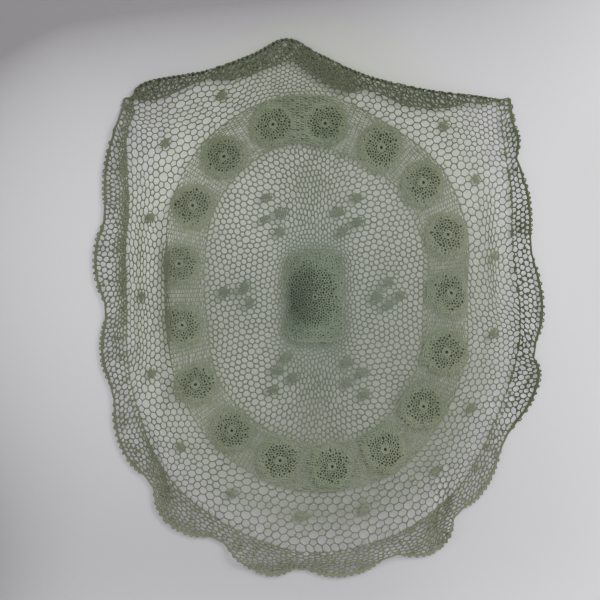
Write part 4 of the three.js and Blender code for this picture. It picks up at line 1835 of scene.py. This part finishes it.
class TABLECLOTH_OT_stage(bpy.types.Operator):
    """Sets the wall, the floor, the lights and the camera"""

    bl_idname = "tablecloth.stage"
    bl_label = "Stage, lights and camera"

    def plane(self, name, corners, material):
        """A flat four-sided stage piece, which throws no shadow, so that the light behind the
        wall reaches the cloth's back."""
        mesh = bpy.data.meshes.new(name)
        mesh.from_pydata(corners, [], [(0, 1, 2, 3)])
        mesh.materials.append(material)
        piece = bpy.data.objects.new(name, mesh)
        bpy.context.scene.collection.objects.link(piece)
        piece.visible_shadow = False

    def light(self, kind, settings):
        """A square area light turned to where the camera looks."""
        data = bpy.data.lights.new(kind["name"], "AREA")
        data.size, data.energy = kind["size"], getattr(settings, kind["power"])
        lamp = bpy.data.objects.new(kind["name"], data)
        lamp.location = kind["place"]
        way = np.array((CAMERA_AIM[0], 0.0, CAMERA_AIM[1])) - np.array(kind["place"])
        lamp.rotation_euler = (
            math.atan2(math.hypot(way[0], way[1]), -way[2]), 0.0, math.atan2(-way[0], way[1]))
        lamp.visible_camera = False
        bpy.context.scene.collection.objects.link(lamp)

    def execute(self, context):
        settings = context.scene.tablecloth
        r, d = WALL_REACH, FLOOR_DROP
        self.plane("wall", [(-r, 0, -d), (r, 0, -d), (r, 0, r), (-r, 0, r)],
                   wall_material(settings))
        self.plane("floor", [(-r, -2 * r, -d), (r, -2 * r, -d), (r, 0, -d), (-r, 0, -d)],
                   floor_material(settings))
        for kind in LIGHTS:
            self.light(kind, settings)
        world = bpy.data.worlds.new("studio")
        world.use_nodes = True
        background = world.node_tree.nodes["Background"]
        background.inputs["Color"].default_value = SKY
        background.inputs["Strength"].default_value = SKY_STRENGTH
        context.scene.world = world
        camera = bpy.data.objects.new("camera", bpy.data.cameras.new("camera"))
        camera.data.lens, camera.data.sensor_width = LENS, SENSOR
        camera.location = (CAMERA_AIM[0], -CAMERA_DISTANCE, CAMERA_AIM[1])
        camera.rotation_euler = (math.pi / 2, 0.0, 0.0)
        context.scene.collection.objects.link(camera)
        context.scene.camera = camera
        return {"FINISHED"}


class TABLECLOTH_PT_sidebar(bpy.types.Panel):
    """Lists the steps of the work and its settings"""

    bl_label = "Crochet tablecloth"
    bl_idname = "TABLECLOTH_PT_sidebar"
    bl_space_type = "VIEW_3D"
    bl_region_type = "UI"
    bl_category = "Tablecloth"

    def draw(self, context):
        for operator in OPERATORS:
            self.layout.operator(operator.bl_idname)
        for name in ClothSettings.__annotations__:
            self.layout.prop(context.scene.tablecloth, name)


OPERATORS = (TABLECLOTH_OT_middle, TABLECLOTH_OT_ring, TABLECLOTH_OT_outside, TABLECLOTH_OT_stage)
CLASSES = (ClothSettings, *OPERATORS, TABLECLOTH_PT_sidebar)


def register():
    """Adds the classes and the scene's settings."""
    for cls in CLASSES:
        bpy.utils.register_class(cls)
    bpy.types.Scene.tablecloth = bpy.props.PointerProperty(type=ClothSettings)


def unregister():
    """Takes the settings and the classes away again."""
    del bpy.types.Scene.tablecloth
    for cls in reversed(CLASSES):
        bpy.utils.unregister_class(cls)


def main():
    """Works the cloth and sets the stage."""
    register()
    bpy.ops.tablecloth.middle()
    bpy.ops.tablecloth.ring()
    bpy.ops.tablecloth.outside()
    bpy.ops.tablecloth.stage()


if __name__ == "__main__":
    main()
